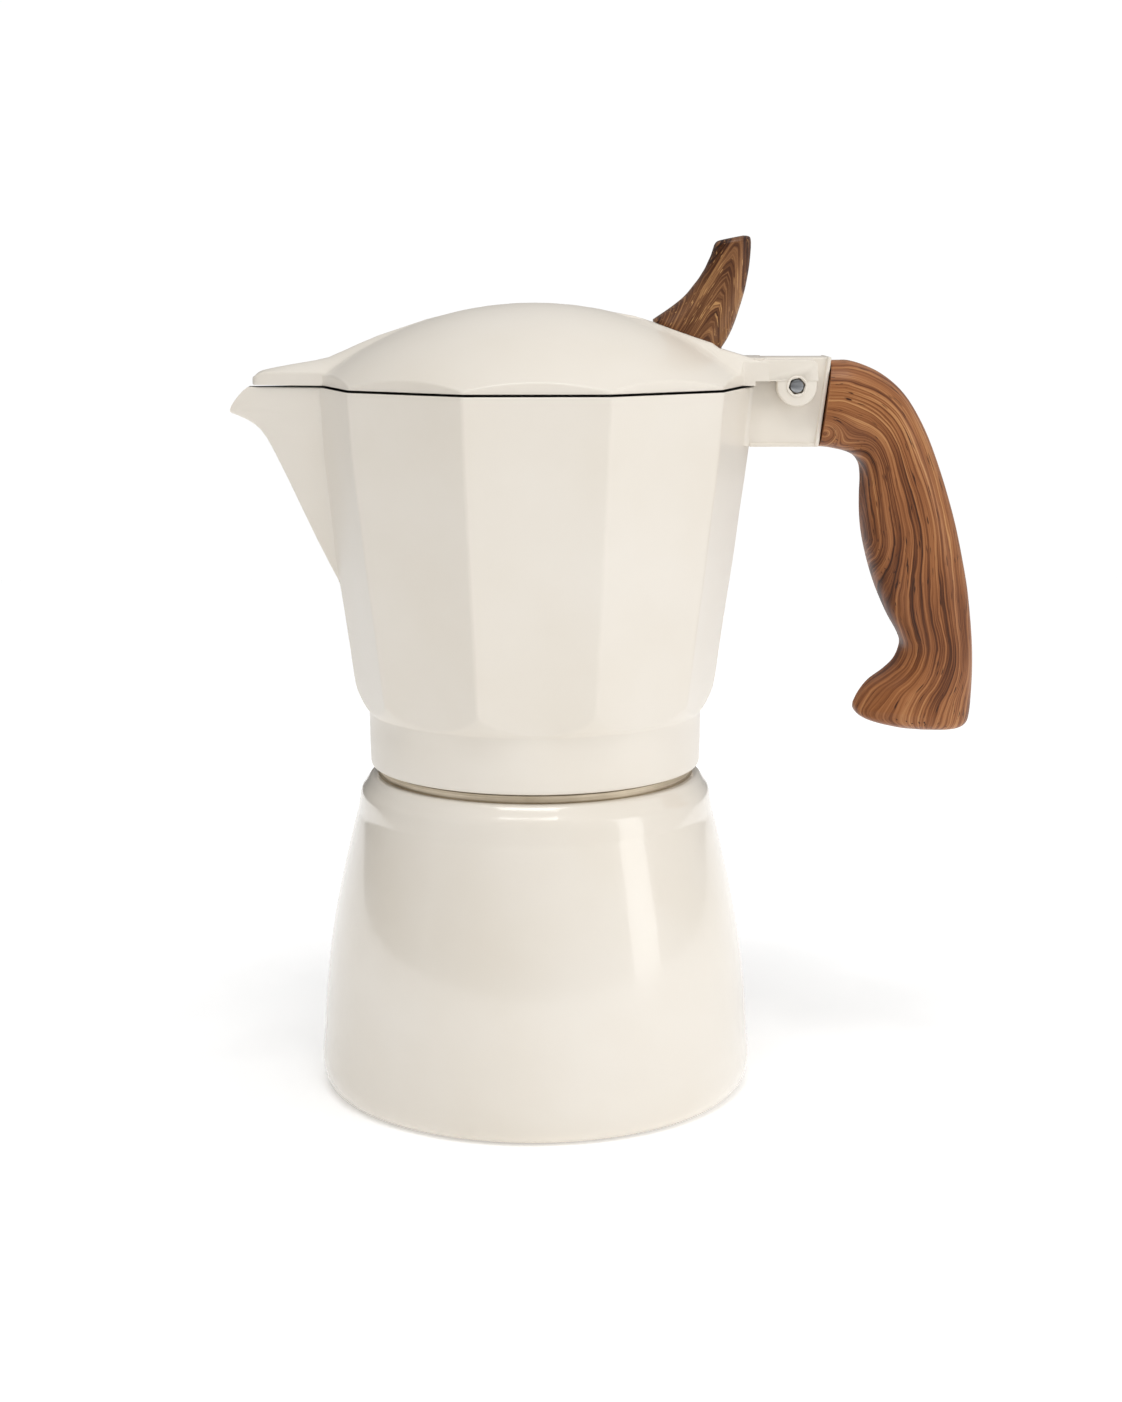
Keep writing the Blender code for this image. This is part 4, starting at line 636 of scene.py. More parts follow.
def spoutRadius(theta, z, inset):
    # radius of the spout's V at each angle, or 0 beside it
    c = chamberShape
    reach = table(c["spoutReach"], z) - 1.5 * inset
    half = table(c["spoutHalf"], z) - inset
    root = table(c["corner"], z) - c["wall"] * (1.2 if inset == 0 else 3)
    if half <= 0.05 or reach <= root:
        return np.zeros_like(theta)
    across = np.linspace(-1, 1, 121)
    nose = c["spoutNose"]
    slope = (np.sqrt(across ** 2 + nose ** 2) - nose) / (math.sqrt(1 + nose ** 2) - nose)
    x = root + (reach - root) * (1 - slope)
    y = half * across
    side = theta % (2 * math.pi) - math.pi
    phi = np.arctan2(y, x)
    return np.interp(side, phi, np.hypot(x, y), left=0, right=0)


def chamberOutside(theta, z):
    c = chamberShape
    cut = table(c["undercut"], z)
    if z < 88.35:
        return cut
    body = facetRadius(theta, table(c["corner"], z), c["cornerRounding"])
    body = softMin(body, cut, 0.22)
    spout = spoutRadius(theta, z, 0)
    return np.where(spout > 0, softMax(body, spout, 0.55), body)


def chamberInside(theta, z):
    c = chamberShape
    body = facetRadius(theta, table(c["corner"], z) - c["wall"], c["innerRounding"])
    lower = c["floorRadius"] + (z - c["floor"])
    body = softMin(body, lower, 2.5)
    if z < 124:
        return body
    spout = spoutRadius(theta, z, c["spoutWall"])
    return np.where(spout > 0, softMax(body, spout, 0.8), body)


def ringOf(radius, theta, z):
    return np.stack([radius * np.cos(theta), radius * np.sin(theta), np.full_like(theta, z)], 1) * mm


def makeChamber():
    c = chamberShape
    near = [0, 0.22, 0.45, 0.68, 0.92, 1.3, 1.9, 2.8, 4.2, 6.2, 8.8, 11.8, 15]
    theta = columnAngles(near, [(180, 0.45, 34)])
    n = len(theta)
    levels = [75.5, 75.62, 75.9, 76.4, 78, 81.5, 85, 87.9, 88.15, 88.34]
    levels += [*np.arange(88.5, 96.4, 0.22), *np.arange(97, 116, 2.4), *np.arange(116.6, 149.5, 1.5)]
    levels += [*np.arange(149.6, 155.9, 0.35), 155.9, 156.3, 157.5, 159.0, 160.4, 161.2]
    rim, seat, bore = c["rim"], c["seat"], c["collarBore"]
    under = [(0.02, seat), (20, seat), (34.9, seat), (bore - 0.05, 88.6), (bore, 82), (bore, 76.4),
             (35.9, 75.6), (36.4, 75.5)]
    rings = [ringOf(r, theta, z) for r, z in under]
    rings += [ringOf(chamberOutside(theta, z), theta, z) for z in levels]
    rings += [ringOf(chamberOutside(theta, rim) - inset, theta, z)
              for inset, z in ((0.04, rim - 0.22), (0.12, rim - 0.1), (0.3, rim))]
    rings += [ringOf(r, theta, rim) for r in (20, 0.02)]
    # rows from machined on, the rim's top, take the dark rim metal: painted shade in the seam under the lid
    bare, machined = len(under) - 1, len(rings) - 3
    marks = []
    for row in range(len(rings) - 1):
        marks += [1 if row < bare else (2 if row >= machined else 0)] * n
    body = newPiece("chamber_body", np.concatenate(rings), gridFaces(len(rings), n), None,
                    [satinEnamel, wallMetal, rimSeamShadeMetal], "cream_satin_paint", [*marks, 1, 2])

    innerLevels = [91.9, 92.2, 93.0, 94.2, 96, 99, 104, 110, 117, *np.arange(124, 150, 2.5)]
    innerLevels += [*np.arange(150.5, 157.5, 0.6), 158.5, 160, 161.6, 163.5]
    rings = [ringOf(r, theta, c["floor"]) for r in (0.02, 15, 30)]
    rings += [ringOf(chamberInside(theta, z + 0.01), theta, z + 0.01) for z in innerLevels]
    rings.append(ringOf(0.02, theta, 163.51))
    faces = gridFaces(len(rings), n)
    hollow = newPiece("chamber_hollow", np.concatenate(rings), faces, None,
                      [satinEnamel, wallMetal, rimSeamShadeMetal], None, [1] * len(faces))
    carve(body, hollow)
    # everything beyond the lip's curve goes
    beyond = [*smoothRun(c["lip"], 4), (-63.3, 170), (-80, 170), (-80, 155.0), (-69.4, 155.3)]
    carve(body, prism("lip_cutter", beyond, 30))
    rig.ride(body, "upper_chamber")
    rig.replaces(body, "upper_chamber")
    softShade(body, 38)


makeChamber()
sweptThread("collar_thread", chamberShape["collarBore"], chamberShape["threadStart"], "upper_chamber",
            wallMetal, inward=True)
print("chamber made")


bracketShape = {
    "top": 168.3, "foot": 148.3, "root": 47.6, "end": 66.3, "slant": 0.127,
    "webHalf": 5.7, "webGap": 0.12,  # the web stays this far inside its rim
    "flangeHalf": 6.3, "flangeThickness": 0.95,
    "lipStart": 48.2, "lipHeight": 0.9, "lipHalf": 5.98,
    "pin": (58.3, 162.0), "noseRadius": 9.3,
    "filletRadius": 1.3, "filletFlare": 2.3,  # the fillet widens over its lowest 2.3 mm
}


def faceX(z):
    b = bracketShape
    return b["end"] - b["slant"] * (b["top"] - z)


def makeBracket():
    b = bracketShape
    gap = b["webGap"]
    top, foot = b["top"] - gap, b["foot"] + gap
    noseStart = math.degrees(math.asin((top - b["pin"][1]) / b["noseRadius"]))
    web = [(b["root"], foot), (faceX(foot) - 0.3, foot), (faceX(top) - 0.3, top),
           *roundRun(b["pin"], b["noseRadius"], 180 - noseStart, 180, 8), (b["root"], 161.4)]
    platePiece("bracket_web", web, b["webHalf"], 0.5, *chamberPaint)
    t = b["flangeThickness"]
    flange = [(faceX(b["foot"]) - t, b["foot"]), (faceX(b["foot"]), b["foot"]), (b["end"], b["top"]),
              (b["end"] - t, b["top"])]
    platePiece("bracket_rim", flange, b["flangeHalf"], 0.32, *chamberPaint)
    low, high = b["foot"], b["foot"] + b["lipHeight"]
    lip = [(b["lipStart"], low), (faceX(low) - 0.2, low), (faceX(high) - 0.2, high), (b["lipStart"], high)]
    platePiece("bracket_lip", lip, b["lipHalf"], 0.3, *chamberPaint)
    # rounded flares where the web leaves the ten-sided wall
    half = math.pi / 10
    for side, word in ((-1, "left"), (1, "right")):
        rows = []
        for z in np.linspace(b["foot"] + 0.2, 161.45, 24):
            corner = table(chamberShape["corner"], z)
            spread = max(0, (b["foot"] + b["filletFlare"] - z) / b["filletFlare"])
            r = b["filletRadius"] * (1 + 0.9 * spread ** 2)
            # the arc touches the web's side and the wall's flat face
            cy = b["webHalf"] + r
            cx = (corner * math.cos(half) + r - cy * math.sin(half)) / math.cos(half)
            arc = roundRun((cx, cy), r, -90, -180 + 18, 6)
            sunk = b["webHalf"] - 0.5
            ring = [(arc[0][0], sunk), *arc, (arc[-1][0] - 0.6, arc[-1][1]), (cx - r - 1.5, sunk)]
            rows.append([(x * mm, side * y * mm, z * mm) for x, y in ring])
        faces = gridFaces(len(rows), len(rows[0]))
        if side > 0:
            faces = [tuple(reversed(f)) for f in faces]
        softShade(newPiece("bracket_flare_" + word, np.concatenate(rows), faces, *chamberPaint), 50)


makeBracket()
print("bracket made")


lidShape = {
    "bottom": 162.1, "corner": 49.45, "cornerRounding": 1.6,
    "domeCentre": 101.9, "domeRadius": 78.3, "wall": 2.3, "innerRadius": 45.0,
    "edgeRounding": 0.55,
    "rimWidth": 1.2,  # bare strip under the edge, coloured dark as painted shade in the seam
    # the roof over the spout: (distance from the axis, height of the ridge), then (distance, half width)
    "coverRidge": [(20, 175.0), (24, 176.43), (28, 175.1), (31, 174.35), (34.9, 173.0), (38, 171.75),
                   (41.4, 170.3), (43.9, 169.1), (46.2, 168.15), (47.4, 167.8), (49, 167.5), (54.7, 166.55),
                   (59.0, 165.75), (61.0, 165.3), (62.2, 164.75), (63.0, 163.9), (63.38, 163.0)],
    "coverHalf": [(20, 9.0), (47.5, 7.2), (49.0, 6.9), (61.5, 3.6), (62.6, 3.0), (63.2, 2.1), (63.4, 0.0)],
    "coverEave": 165.0,
    "armHalf": 9.6, "armTop": 168.22, "armEnd": 52.0, "armFlat": 8.3,
    "relief": (9.6, 6.6),  # radius and half width of the gap round the hinge's barrel
    "stepFoot": 163.1,  # underside of the arm
    # rings from the crown to the edge, as shares of the way
    "shares": [0.0005, 0.08, 0.18, 0.28, 0.38, 0.47, 0.55, 0.62, 0.68, 0.73, 0.775, 0.815, 0.85, 0.88, 0.905,
               0.925, 0.94, 0.953, 0.965, 0.975, 0.983, 0.99],
}


def domeHeight(rho, drop=0.0):
    s = lidShape
    return s["domeCentre"] + np.sqrt(np.maximum(1.0, (s["domeRadius"] - drop) ** 2 - rho ** 2))


def ridgeHeight(x):
    # the arm's back rises off the dome towards the hinge
    share = np.clip((x - 24) / 24, 0, 1)
    return domeHeight(np.minimum(x, 48)) + 4.6 * share ** 2


def lidHeight(x, y):
    s = lidShape
    rho = np.hypot(x, y)
    height = domeHeight(rho)
    # the roof over the spout, crowned across
    out = -x
    ridge = table(s["coverRidge"], out)
    half = table([(reach, max(h, 0.4)) for reach, h in s["coverHalf"]], out)
    eave = np.minimum(s["coverEave"], ridge - 0.5)
    crown = ridge - (ridge - eave) * np.clip(np.abs(y) / half, 0, 1.6) ** 1.7
    height = np.where(out > 20, softMax(height, crown, 0.7), height)
    # the arm to the hinge, flat on top with leaning sides
    top = np.where(x > 48, s["armTop"], ridgeHeight(x))
    top = np.minimum(top, np.where(x > 40, s["armTop"] + np.maximum(0, 48 - x) * 0.3, 999))
    flank = np.maximum(0, np.abs(y) - s["armFlat"])
    arm = top - np.where(flank < 1.3, flank ** 2 * 0.55, 0.93 + (flank - 1.3) * 1.5)
    height = np.where(x > 22, softMax(height, arm, 1.6), height)
    return height


def lidOutline(theta):
    s = lidShape
    radius = facetRadius(theta, s["corner"], s["cornerRounding"])
    # spout roof
    x = np.linspace(40, 63.4, 400)
    half = table(s["coverHalf"], x)
    side = np.abs(theta % (2 * math.pi) - math.pi)
    phi = np.arctan2(half, x)[::-1]
    roof = np.interp(side, phi, np.hypot(x, half)[::-1], right=0)
    radius = np.where(roof > 0, softMax(radius, roof, 0.5), radius)
    # hinge arm
    rear = np.where(theta > math.pi, theta - 2 * math.pi, theta)
    arm = np.minimum(s["armEnd"] / np.maximum(np.cos(rear), 0.05),
                     s["armHalf"] / np.maximum(np.abs(np.sin(rear)), 0.01))
    arm = np.where(np.abs(rear) < 0.6, arm, 0)
    return np.where(arm > 0, softMax(radius, arm, 0.8), radius)


def makeLid():
    s = lidShape
    near = [0, 0.25, 0.5, 0.8, 1.3, 2.1, 3.3, 5, 7, 9.5, 12.3, 15.2]
    theta = columnAngles(near, [(180, 0.4, 34), (0, 0.45, 36)])
    edge = lidOutline(theta)
    r, bottom = s["edgeRounding"], s["bottom"]

    def point(rho, height):
        return np.stack([rho * np.cos(theta), rho * np.sin(theta), height + np.zeros_like(theta)], 1) * mm

    def surface(rho):
        return np.maximum(lidHeight(rho * np.cos(theta), rho * np.sin(theta)), bottom + 0.45)

    rings = []
    for share in s["shares"]:
        rho = (edge - r) * share / s["shares"][-1]
        rings.append(point(rho, surface(rho)))
    # rounded top edge of the skirt, then its upright face
    base = surface(edge - r)
    room = np.minimum(r, (base - bottom) * 0.6)
    for degrees in (22, 45, 68, 90):
        a = math.radians(degrees)
        drop = room * (1 - math.cos(a)) + r * 0.25 * math.sin(a)
        rings.append(point(edge - r + r * math.sin(a), base - drop))
    for inset, z in ((0, bottom + 0.25), (0.07, bottom + 0.08), (0.25, bottom)):
        rings.append(point(edge - inset, z))
    painted = len(rings)
    inner = s["innerRadius"]
    rings += [point(edge - s["rimWidth"], bottom), point(inner, bottom), point(inner, bottom + 0.8)]
    for share in (0.97, 0.9, 0.8, 0.68, 0.55, 0.4, 0.25, 0.1, 0.0005):
        rings.append(point(inner * share, domeHeight(inner * share, s["wall"])))
    rings = rings[::-1]
    total = len(rings)
    # the strip just inside the painted skirt takes the dark rim metal: painted shade in the seam
    marks = []
    for ring in range(total - 1, 0, -1):  # each strip's inner ring, counted from the crown
        marks += [0 if ring < painted else (2 if ring == painted else 1)] * len(theta)
    lid = newPiece("lid_shell", np.concatenate(rings), gridFaces(total, len(theta)), None,
                   [satinEnamel, wallMetal, rimSeamShadeMetal], "cream_satin_paint", [*marks, 1, 0])
    reach, half = s["relief"]
    carve(lid, prism("hinge_relief", roundRun(bracketShape["pin"], reach, 0, 354, 59), half))
    foot = s["stepFoot"]
    carve(lid, prism("arm_step", [(49.0, 160), (60, 160), (60, foot), (49.0, foot)], 12))
    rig.ride(lid, "lid")
    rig.replaces(lid, "lid")
    softShade(lid, 38)


makeLid()

cheekShape = {
    "inner": 6.6, "outer": 9.3,  # half widths
    "knuckle": 4.5, "sweep": 6.8,  # radii about the pin, below and at the rear corner
    "start": 49.6, "high": 167.9, "foot": 163.1,
    "bore": 1.95, "beadRadius": 2.12, "beadSize": (0.26, 0.2),
    "bridgeStart": 48.6, "bridgeRadius": 9.6, "bridgeTop": 168.2, "bridgeHalf": 9.25,
}


def makeCheeks():
    c = cheekShape
    pin = bracketShape["pin"]
    meets = 180 - math.degrees(math.asin((c["foot"] - pin[1]) / c["knuckle"]))
    rear = math.degrees(math.acos(c["knuckle"] / c["sweep"]))
    clip = math.degrees(math.asin((c["high"] - pin[1]) / c["sweep"]))
    outline = [(c["start"], c["foot"]), *roundRun(pin, c["knuckle"], meets, 360, 26),
               *roundRun(pin, c["sweep"], rear, clip, 6), (c["start"], c["high"])]
    half = (c["outer"] - c["inner"]) / 2
    # a side plate stands slightly proud of the knuckle, so a level line crosses it
    plateFoot, plateHalf, proud = c["foot"] + 0.05, 0.32, 0.14
    plate = [(c["start"], plateFoot), (pin[0] + c["knuckle"] + 0.25, plateFoot),
             *roundRun(pin, c["sweep"] - 0.12, rear - 1, clip, 6), (c["start"], c["high"] - 0.1)]
    around, section = 48, 12  # steps round the bead and round its section
    turn = np.linspace(0, 2 * math.pi, around, endpoint=False)
    roll = np.linspace(0, 2 * math.pi, section, endpoint=False)
    for side, word in ((-1, "left"), (1, "right")):
        cheek = platePiece("hinge_cheek_" + word, outline, half, 0.45, *lidPaint, side * (c["outer"] - half))
        band = platePiece("hinge_plate_" + word, plate, plateHalf, 0.12, *lidPaint,
                          side * (c["outer"] - plateHalf + proud))
        for piece in (cheek, band):
            # a slightly six-sided bore, as the paint leaves it
            carve(piece, prism("bore_cutter", roundRun(pin, c["bore"], 12, 312, 5), 12))
        bulge, height = c["beadSize"]
        rows = []
        for a in turn:
            reach = [c["beadRadius"] + bulge * math.cos(b) for b in roll]
            rows.append([((pin[0] + q * math.cos(a)) * mm,
                          side * (c["outer"] + 0.08 + height * math.sin(b)) * mm,
                          (pin[1] + q * math.sin(a)) * mm) for q, b in zip(reach, roll)])
        faces = gridFaces(around, section, False, False)
        last = (around - 1) * section
        faces += [(last + k, last + (k + 1) % section, (k + 1) % section, k) for k in range(section)]
        if side < 0:
            faces = [tuple(reversed(f)) for f in faces]
        softShade(newPiece("paint_bead_" + word, np.concatenate(rows), faces, *lidPaint), 60)
    # the arm's top between the cheeks, ending in a curve about the pin
    radius, top = c["bridgeRadius"], c["bridgeTop"]
    low = math.degrees(math.asin(1.2 / radius))
    nose = math.degrees(math.asin((top - pin[1]) / radius))
    bridge = [(c["bridgeStart"], 163.2), *roundRun(pin, radius, 180 - low, 180 - nose, 10),
              (c["bridgeStart"], top)]
    platePiece("arm_bridge", bridge, c["bridgeHalf"], 0.15, *lidPaint)


makeCheeks()

pinShape = {"radius": 1.5, "chamfer": 0.22, "half": 9.2}


def makePin():
    r, ch, h = pinShape["radius"], pinShape["chamfer"], pinShape["half"]
    profile = [(0.02, -h), (r - ch, -h), (r - ch * 0.3, -h + ch * 0.3), (r, -h + ch), (r, 0), (r, h - ch),
               (r - ch * 0.3, h - ch * 0.3), (r - ch, h), (0.02, h)]
    pin = turnedPiece("hinge_pin_steel", profile, 48, None, steel)
    pinX, pinZ = [v * mm for v in bracketShape["pin"]]
    for v in pin.data.vertices:
        x, y, z = v.co
        v.co = (pinX + x, -z, pinZ + y)
    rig.ride(pin, "upper_chamber")
    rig.slot(pin, "steel")
    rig.replaces(pin, "hinge_pin")
    softShade(pin)


makePin()
print("lid made")


handleShape = {
    # pairs of points on the outer and the finger side, from the bracket to the toe
    "stations": [
        ((66.5, 167.4), (64.15, 148.1)), ((68.6, 167.45), (65.7, 148.0)), ((70.8, 167.4), (67.3, 147.75)),
        ((74.0, 166.5), (70.1, 147.1)), ((77.5, 164.9), (72.3, 146.1)), ((80.9, 162.5), (73.6, 144.6)),
        ((83.8, 159.5), (74.2, 142.9)), ((86.5, 155.4), (74.4, 140.3)), ((89.1, 150.3), (74.3, 136.5)),
        ((91.7, 143.7), (74.4, 132.5)), ((94.0, 136.9), (74.8, 128.6)), ((96.0, 130.0), (75.6, 124.7)),
        ((97.6, 123.1), (76.7, 120.6)), ((99.0, 116.1), (78.4, 115.6)), ((99.9, 109.4), (81.1, 109.6)),
        ((100.4, 104.4), (83.6, 105.2)), ((100.65, 100.4), (84.4, 102.4)), ((100.78, 96.4), (83.2, 98.9)),
        ((100.76, 93.0), (80.7, 96.3)), ((100.68, 90.2), (77.2, 93.7)), ((100.55, 87.8), (75.0, 90.9)),
        ((100.3, 85.9), (73.85, 88.5)),
    ],
    "toe": [((100.0, 84.9), (73.75, 87.5), 0.975), ((99.3, 84.0), (74.3, 86.6), 0.93),
            ((98.2, 83.4), (75.6, 85.7), 0.85), ((96.4, 83.05), (77.8, 84.85), 0.72),
            ((93.0, 82.9), (82.0, 83.75), 0.5)],
    "halfWidth": [(0, 8.3), (0.12, 9.1), (0.3, 9.7), (0.6, 9.9), (0.85, 9.3), (1, 9.5)],
    "square": 2.7,  # how square the section is; 2 is an ellipse
    "around": 84,
    "toeHalf": 9.5, "toeStep": 0.35,
    # the figure: a long eye on the finger side and a small knot beside the bracket
    "eyeAt": 0.44,  # share of the length
    "cup": (11.5, 17),  # how far the lines cup below the eye, and over what length
    "knot": (65.0, 151.4, 6.5),  # x, z and reach
}


def sectionRing(outer, inner, halfWidth, square, around):
    outer, inner = np.array(outer), np.array(inner)
    centre, depth = (outer + inner) / 2, (outer - inner) / 2
    ring = []
    for i in range(around):
        a = 2 * math.pi * i / around
        u = math.copysign(abs(math.cos(a)) ** (2 / square), math.cos(a))
        v = math.copysign(abs(math.sin(a)) ** (2 / square), math.sin(a))
        x, z = centre + depth * u
        ring.append((x, halfWidth * v, z, u))
    return ring


def figured(name, rings, lengths, fieldOf, paintedLightOf, body, material, slot, node):
    # builds a grip from its rings and stores the figure field and the painted light and shade on its vertices
    around = len(rings[0])
    points = [(x * mm, y * mm, z * mm) for ring in rings for x, y, z, u in ring]
    piece = newPiece(name, points, gridFaces(len(rings), around), body, material, slot)
    piece.data.attributes.new("figure", "FLOAT_VECTOR", "POINT")
    piece.data.attributes.new("edgeLight", "FLOAT", "POINT")
    values, paintedLights = [], []
    for ring, s in zip(rings, lengths):
        for x, y, z, u in ring:
            values += fieldOf(x, y, z, u, s)
            paintedLights.append(paintedLightOf(x, y, z, u, s))
    piece.data.attributes["figure"].data.foreach_set("vector", values)
    piece.data.attributes["edgeLight"].data.foreach_set("value", paintedLights)
    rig.replaces(piece, node)
    softShade(piece, 45)


def makeHandle():
    h = handleShape
    outer = smoothRun([p[0] for p in h["stations"]], 6)
    inner = smoothRun([p[1] for p in h["stations"]], 6)
    count = len(outer)
    rings, lengths, length, last = [], [], 0.0, None
    for i, (o, n) in enumerate(zip(outer, inner)):
        middle = (np.array(o) + np.array(n)) / 2
        length += 0 if last is None else float(np.linalg.norm(middle - last))
        last = middle
        rings.append(sectionRing(o, n, table(h["halfWidth"], i / (count - 1)), h["square"], h["around"]))
        lengths.append(length)
    total = length
    toe = [(*h["stations"][-1][0], *h["stations"][-1][1], 1.0), *[(*o, *n, w) for o, n, w in h["toe"]]]
    for x0, z0, x1, z1, w in smoothRun(toe, 3)[1:]:
        length += h["toeStep"]
        rings.append(sectionRing((x0, z0), (x1, z1), h["toeHalf"] * w, h["square"], h["around"]))
        lengths.append(length)
    cupDepth, cupLength = h["cup"]
    knotX, knotZ, knotReach = h["knot"]

    def fieldOf(x, y, z, u, s):
        across = (u + 1) * 11.5
        below = s - total * h["eyeAt"]
        # lines cup below the eye, then straighten and sweep down the toe
        drop = cupDepth * math.tanh(below / cupLength) if below > 0 else 0.15 * below
        eye = math.hypot(across + 0.5, drop)
        knot = math.hypot(x - knotX, (z - knotZ) * 1.2)
        pull = math.exp(-(knot / knotReach) ** 2)
        flow = eye * (1 - pull) + (3.0 + knot * 1.3) * pull
        return (flow + abs(y) * 0.25, s * 0.9, y)

    def paintedLightOf(x, y, z, u, s):
        # painted light and shade: lighter along the back and by the bracket, darker on the finger side
        return 0.14 * max(0, u) ** 3 - 0.12 * max(0, -u) ** 2 + 0.1 * math.exp(-(s / 16) ** 2)

    figured("handle_grip", rings, lengths, fieldOf, paintedLightOf, "upper_chamber", handleWalnut,
            "wood_look_handle", "handle")


knobShape = {
    # (x, z) up the horn's two edges
    "front": [(26.7, 176.5), (29.7, 178.5), (31.7, 179.95), (33.3, 181.25), (34.6, 182.6), (35.7, 184.0),
              (36.8, 185.4), (37.7, 186.8), (38.4, 188.0), (39.0, 189.3), (39.6, 190.6), (40.0, 191.8),
              (40.35, 192.9)],
    "back": [(42.1, 170.3), (43.2, 172.0), (44.2, 174.0), (45.1, 176.3), (45.9, 178.8), (46.6, 181.1),
             (47.2, 183.4), (47.65, 185.8), (48.0, 188.0), (48.2, 190.0), (48.33, 191.8), (48.36, 193.2),
             (48.3, 194.0)],
    "crown": [((40.7, 193.45), (48.2, 194.45), 0.95), ((41.15, 193.8), (47.95, 194.75), 0.86),
              ((42.0, 194.05), (47.4, 194.93), 0.72), ((43.4, 194.35), (46.6, 194.97), 0.5)],
    "halfWidth": [(0, 6.7), (0.35, 6.3), (0.75, 5.9), (1, 6.0)],
    "crownHalf": 6.0, "length": 20,
    "square": 2.9,
    "around": 64,
    "figureMiddle": (41.2, 182),  # x and z that the arches lean about
}


def makeKnob():
    k = knobShape
    front, back = smoothRun(k["front"], 4), smoothRun(k["back"], 4)
    square, around = k["square"], k["around"]
    count = len(front)
    rings, lengths = [], []
    for i, (f, b) in enumerate(zip(front, back)):
        share = i / (count - 1)
        rings.append(sectionRing(b, f, table(k["halfWidth"], share), square, around))
        lengths.append(share * k["length"])
    # the foot is cut to the lid's surface
    foot = [(x, y, min(z, float(lidHeight(np.array(x), np.array(y))) + 0.05), u) for x, y, z, u in rings[0]]
    rings.insert(0, foot)
    lengths.insert(0, -0.5)
    crown = [(*k["back"][-1], *k["front"][-1], 1.0), *[(*b, *f, w) for f, b, w in k["crown"]]]
    for i, (x0, z0, x1, z1, w) in enumerate(smoothRun(crown, 3)[1:]):
        rings.append(sectionRing((x0, z0), (x1, z1), k["crownHalf"] * w, square, around))
        lengths.append(k["length"] + 0.2 * i)
    middleX, middleZ = k["figureMiddle"]

    def fieldOf(x, y, z, u, s):
        # nested arches that point up the horn
        lean = (x - middleX) * 1.35 - (z - middleZ) * 0.42
        arch = 0.95 * math.hypot(lean, 2.2) + 0.33 * (z - 170)
        return (arch * 1.15 + abs(y) * 0.3, s * 1.2 + lean * 0.4, y)

    def paintedLightOf(x, y, z, u, s):
        # painted light: lighter along the back of the horn and towards its foot
        return 0.2 * max(0, u) ** 4 + 0.04 * (1 - s / k["length"])

    figured("knob_horn", rings, lengths, fieldOf, paintedLightOf, "lid", knobWalnut, "wood_look_knob", "lid_knob")


makeHandle()
makeKnob()
print("grips made")


keptNodes = {
    spunMetal: ["funnel_basket", "funnel_stem", "basket_filter_disc", "filter_plate", "column_cap"],
    wallMetal: ["coffee_column"], silicone: ["gasket"], redFibre: ["safety_valve_washer"],
    brass: ["safety_valve_body", "safety_valve_retainer", "knob_insert"],
    steel: ["safety_valve_piston", "safety_valve_spring", "handle_screw", "handle_washer", "knob_screw",
            "knob_washer"],
}
for nodeMaterial, nodeName in [(m, n) for m, names in keptNodes.items() for n in names]:
    node = frame["nodes"][nodeName]
    node.data.materials.clear()
    node.data.materials.append(nodeMaterial)
    node.data.shade_smooth()
    node.modifiers.new("weld", "WELD").merge_threshold = 0.02 * mm
    node.modifiers.new("crisp edges", "EDGE_SPLIT").split_angle = math.radians(35)
# the valve's spring shortens by the piston's travel, towards its seat under the retainer
springLook = {"seat": (0, 50.6 * mm, 44 * mm), "length": 7.05, "travel": 1.5}
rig.squash(frame["nodes"]["safety_valve_spring"], "valve_lift", axis=(0, 1, 0), anchor=springLook["seat"],
          keep=1 - springLook["travel"] / springLook["length"])
print("kept nodes finished")


studio = {
    "floorColours": ("#fbfbfb", "#f7f7f7"), "floorSize": 0.9, "floorDrop": 0.0002,  # metres
    "floorGlow": (0.24, 0.42), "glowRange": (0.06, 0.26),  # by the pot and beyond it, metres from its axis
    "skyLight": (0.0, 0.80), "brightWay": (0.50, -0.19, 0.845), "skySeen": 1.02,
    "cameraPlace": (-0.00445, -0.530, 0.1873), "cameraTurn": (79.53, 0, -1.13), "lens": 59.83,
    "lights": {
        # name: place, what it points at, width, height, watts
        "right_softbox": ((0.78, -0.42, 0.27), (0, 0, 0.09), 0.28, 0.54, 0.98),
        "top_softbox": ((-0.04, -0.34, 0.92), (0, 0, 0.08), 0.50, 0.4, 3.1),
        "left_strip": ((-0.80, -0.40, 0.32), (0, 0, 0.08), 0.12, 0.6, 0.05),
    },
}


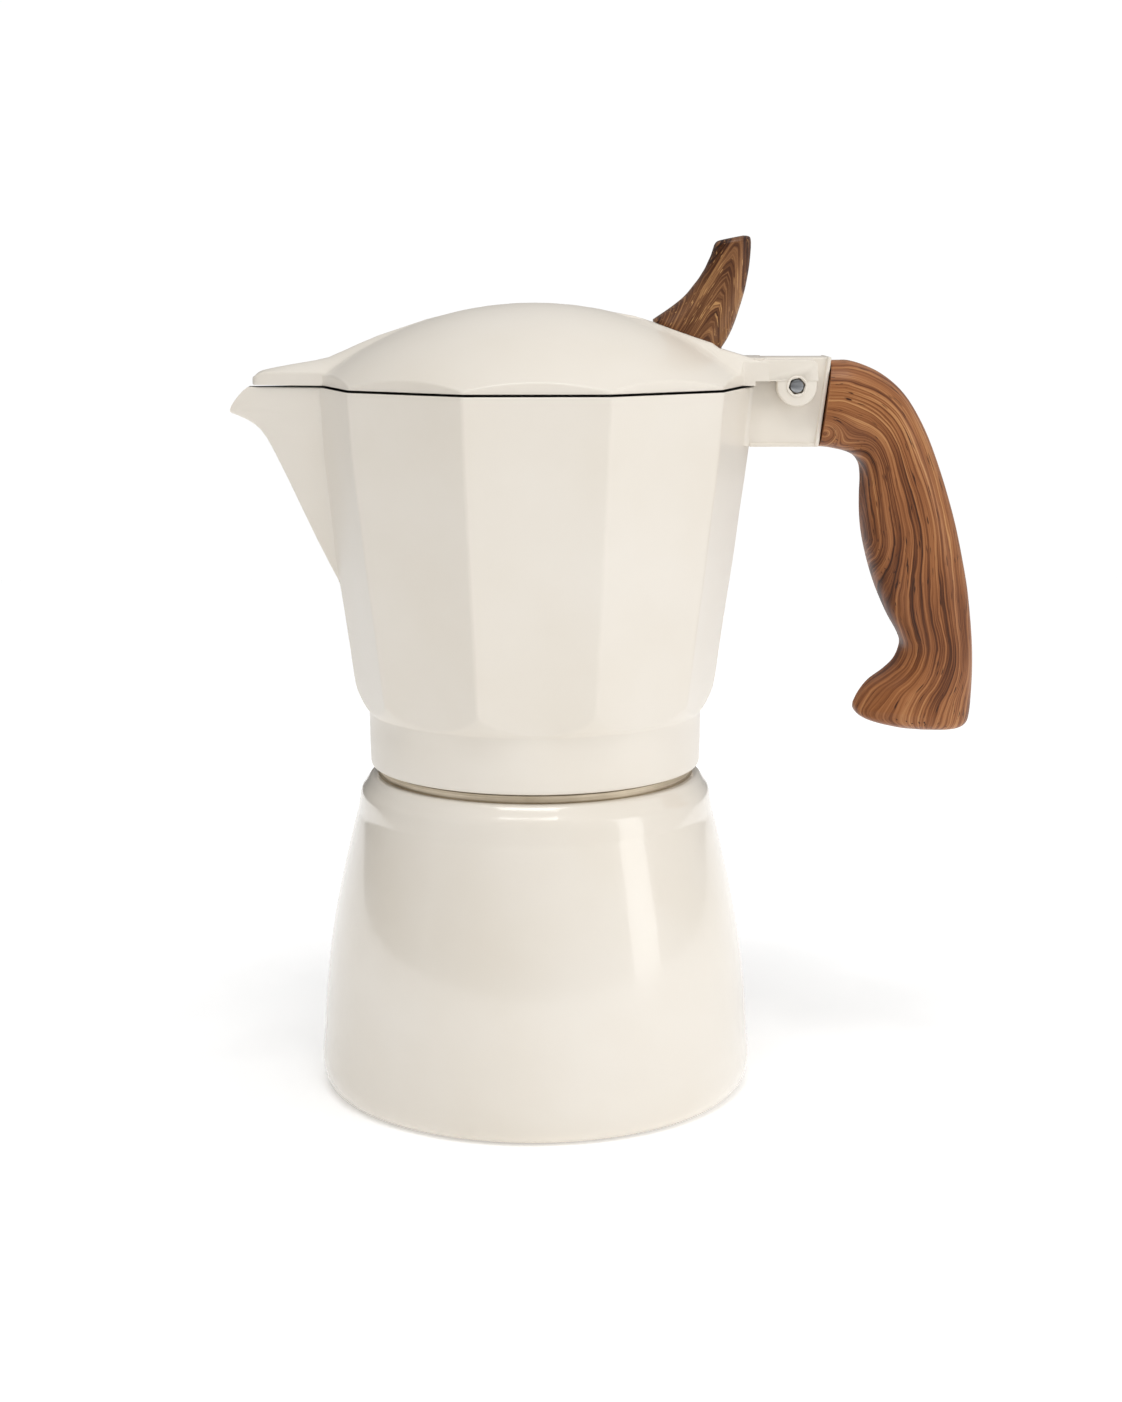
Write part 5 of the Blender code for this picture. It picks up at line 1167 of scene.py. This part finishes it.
def makeStudio():
    s = studio
    size, drop = s["floorSize"], -s["floorDrop"]
    mesh = bpy.data.meshes.new("floor")
    corners = [(-size, -size, drop), (size, -size, drop), (size, size, drop), (-size, size, drop)]
    mesh.from_pydata(corners, [], [(0, 1, 2, 3)])
    floor = addObject("floor", mesh)
    material, tree, shader, place = newMaterial("matte_paper_floor", Roughness=0.9)
    pulp = addNode(tree, "TexNoise", {"Scale": 40.0}, {"Vector": place})
    light, dark = s["floorColours"]
    addNode(tree, "ValToRGB", {"stops": [(0.4, dark), (0.6, light)]}, {0: pulp.outputs[0]},
            shader.inputs["Base Color"])
    shader.inputs["Emission Color"].default_value = (1, 1, 1, 1)
    # the paper brightens away from the pot, so that the floor runs into the background
    reach = addNode(tree, "VectorMath", {"operation": "LENGTH"}, {0: place})
    nearBy, farOff = s["glowRange"]
    low, high = s["floorGlow"]
    addNode(tree, "MapRange", {"From Min": nearBy, "From Max": farOff, "To Min": low, "To Max": high},
            {"Value": reach.outputs["Value"]}, shader.inputs["Emission Strength"])
    mesh.materials.append(material)
    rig.stage(floor)

    world = bpy.data.worlds.new("studio")
    bpy.context.scene.world = world
    world.use_nodes = True
    tree = world.node_tree
    tree.nodes.clear()
    seen = addNode(tree, "LightPath").outputs["Is Camera Ray"]
    # the room is darker to the left and low down, brighter above and to the right
    way = addNode(tree, "TexCoord").outputs["Generated"]
    facing = addNode(tree, "VectorMath", {"operation": "DOT_PRODUCT", 1: s["brightWay"]}, {0: way})
    low, high = s["skyLight"]
    glow = addNode(tree, "MapRange", {"From Min": -0.55, "To Min": low, "To Max": high},
                   {"Value": facing.outputs["Value"]})
    strength = addNode(tree, "MapRange", {"To Max": s["skySeen"]},
                       {"Value": seen, "To Min": glow.outputs[0]})
    sky = addNode(tree, "Background", {"Color": (1, 1, 1, 1)}, {"Strength": strength.outputs[0]})
    out = addNode(tree, "OutputWorld")
    tree.links.new(sky.outputs[0], out.inputs[0])

    for name, (place, target, width, height, watts) in s["lights"].items():
        lamp = bpy.data.lights.new(name, "AREA")
        lamp.shape = "RECTANGLE"
        lamp.size, lamp.size_y, lamp.energy = width, height, watts
        holder = addObject(name, lamp)
        holder.location = place
        holder.rotation_mode = "QUATERNION"
        holder.rotation_quaternion = (Vector(target) - Vector(place)).to_track_quat("-Z", "Y")

    lens = bpy.data.cameras.new("camera")
    lens.lens = s["lens"]
    lens.sensor_width = 36
    lens.clip_start, lens.clip_end = 0.01, 50
    camera = addObject("camera", lens)
    camera.location = s["cameraPlace"]
    camera.rotation_euler = [math.radians(a) for a in s["cameraTurn"]]
    bpy.context.scene.camera = camera
    bpy.context.scene.view_settings.view_transform = "Standard"


makeStudio()
print("studio ready")

with open("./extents.json", "w") as sizeFile:
    json.dump({"cad": [list(v) for v in cadBox], "visual": [list(v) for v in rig.bounds()]}, sizeFile)
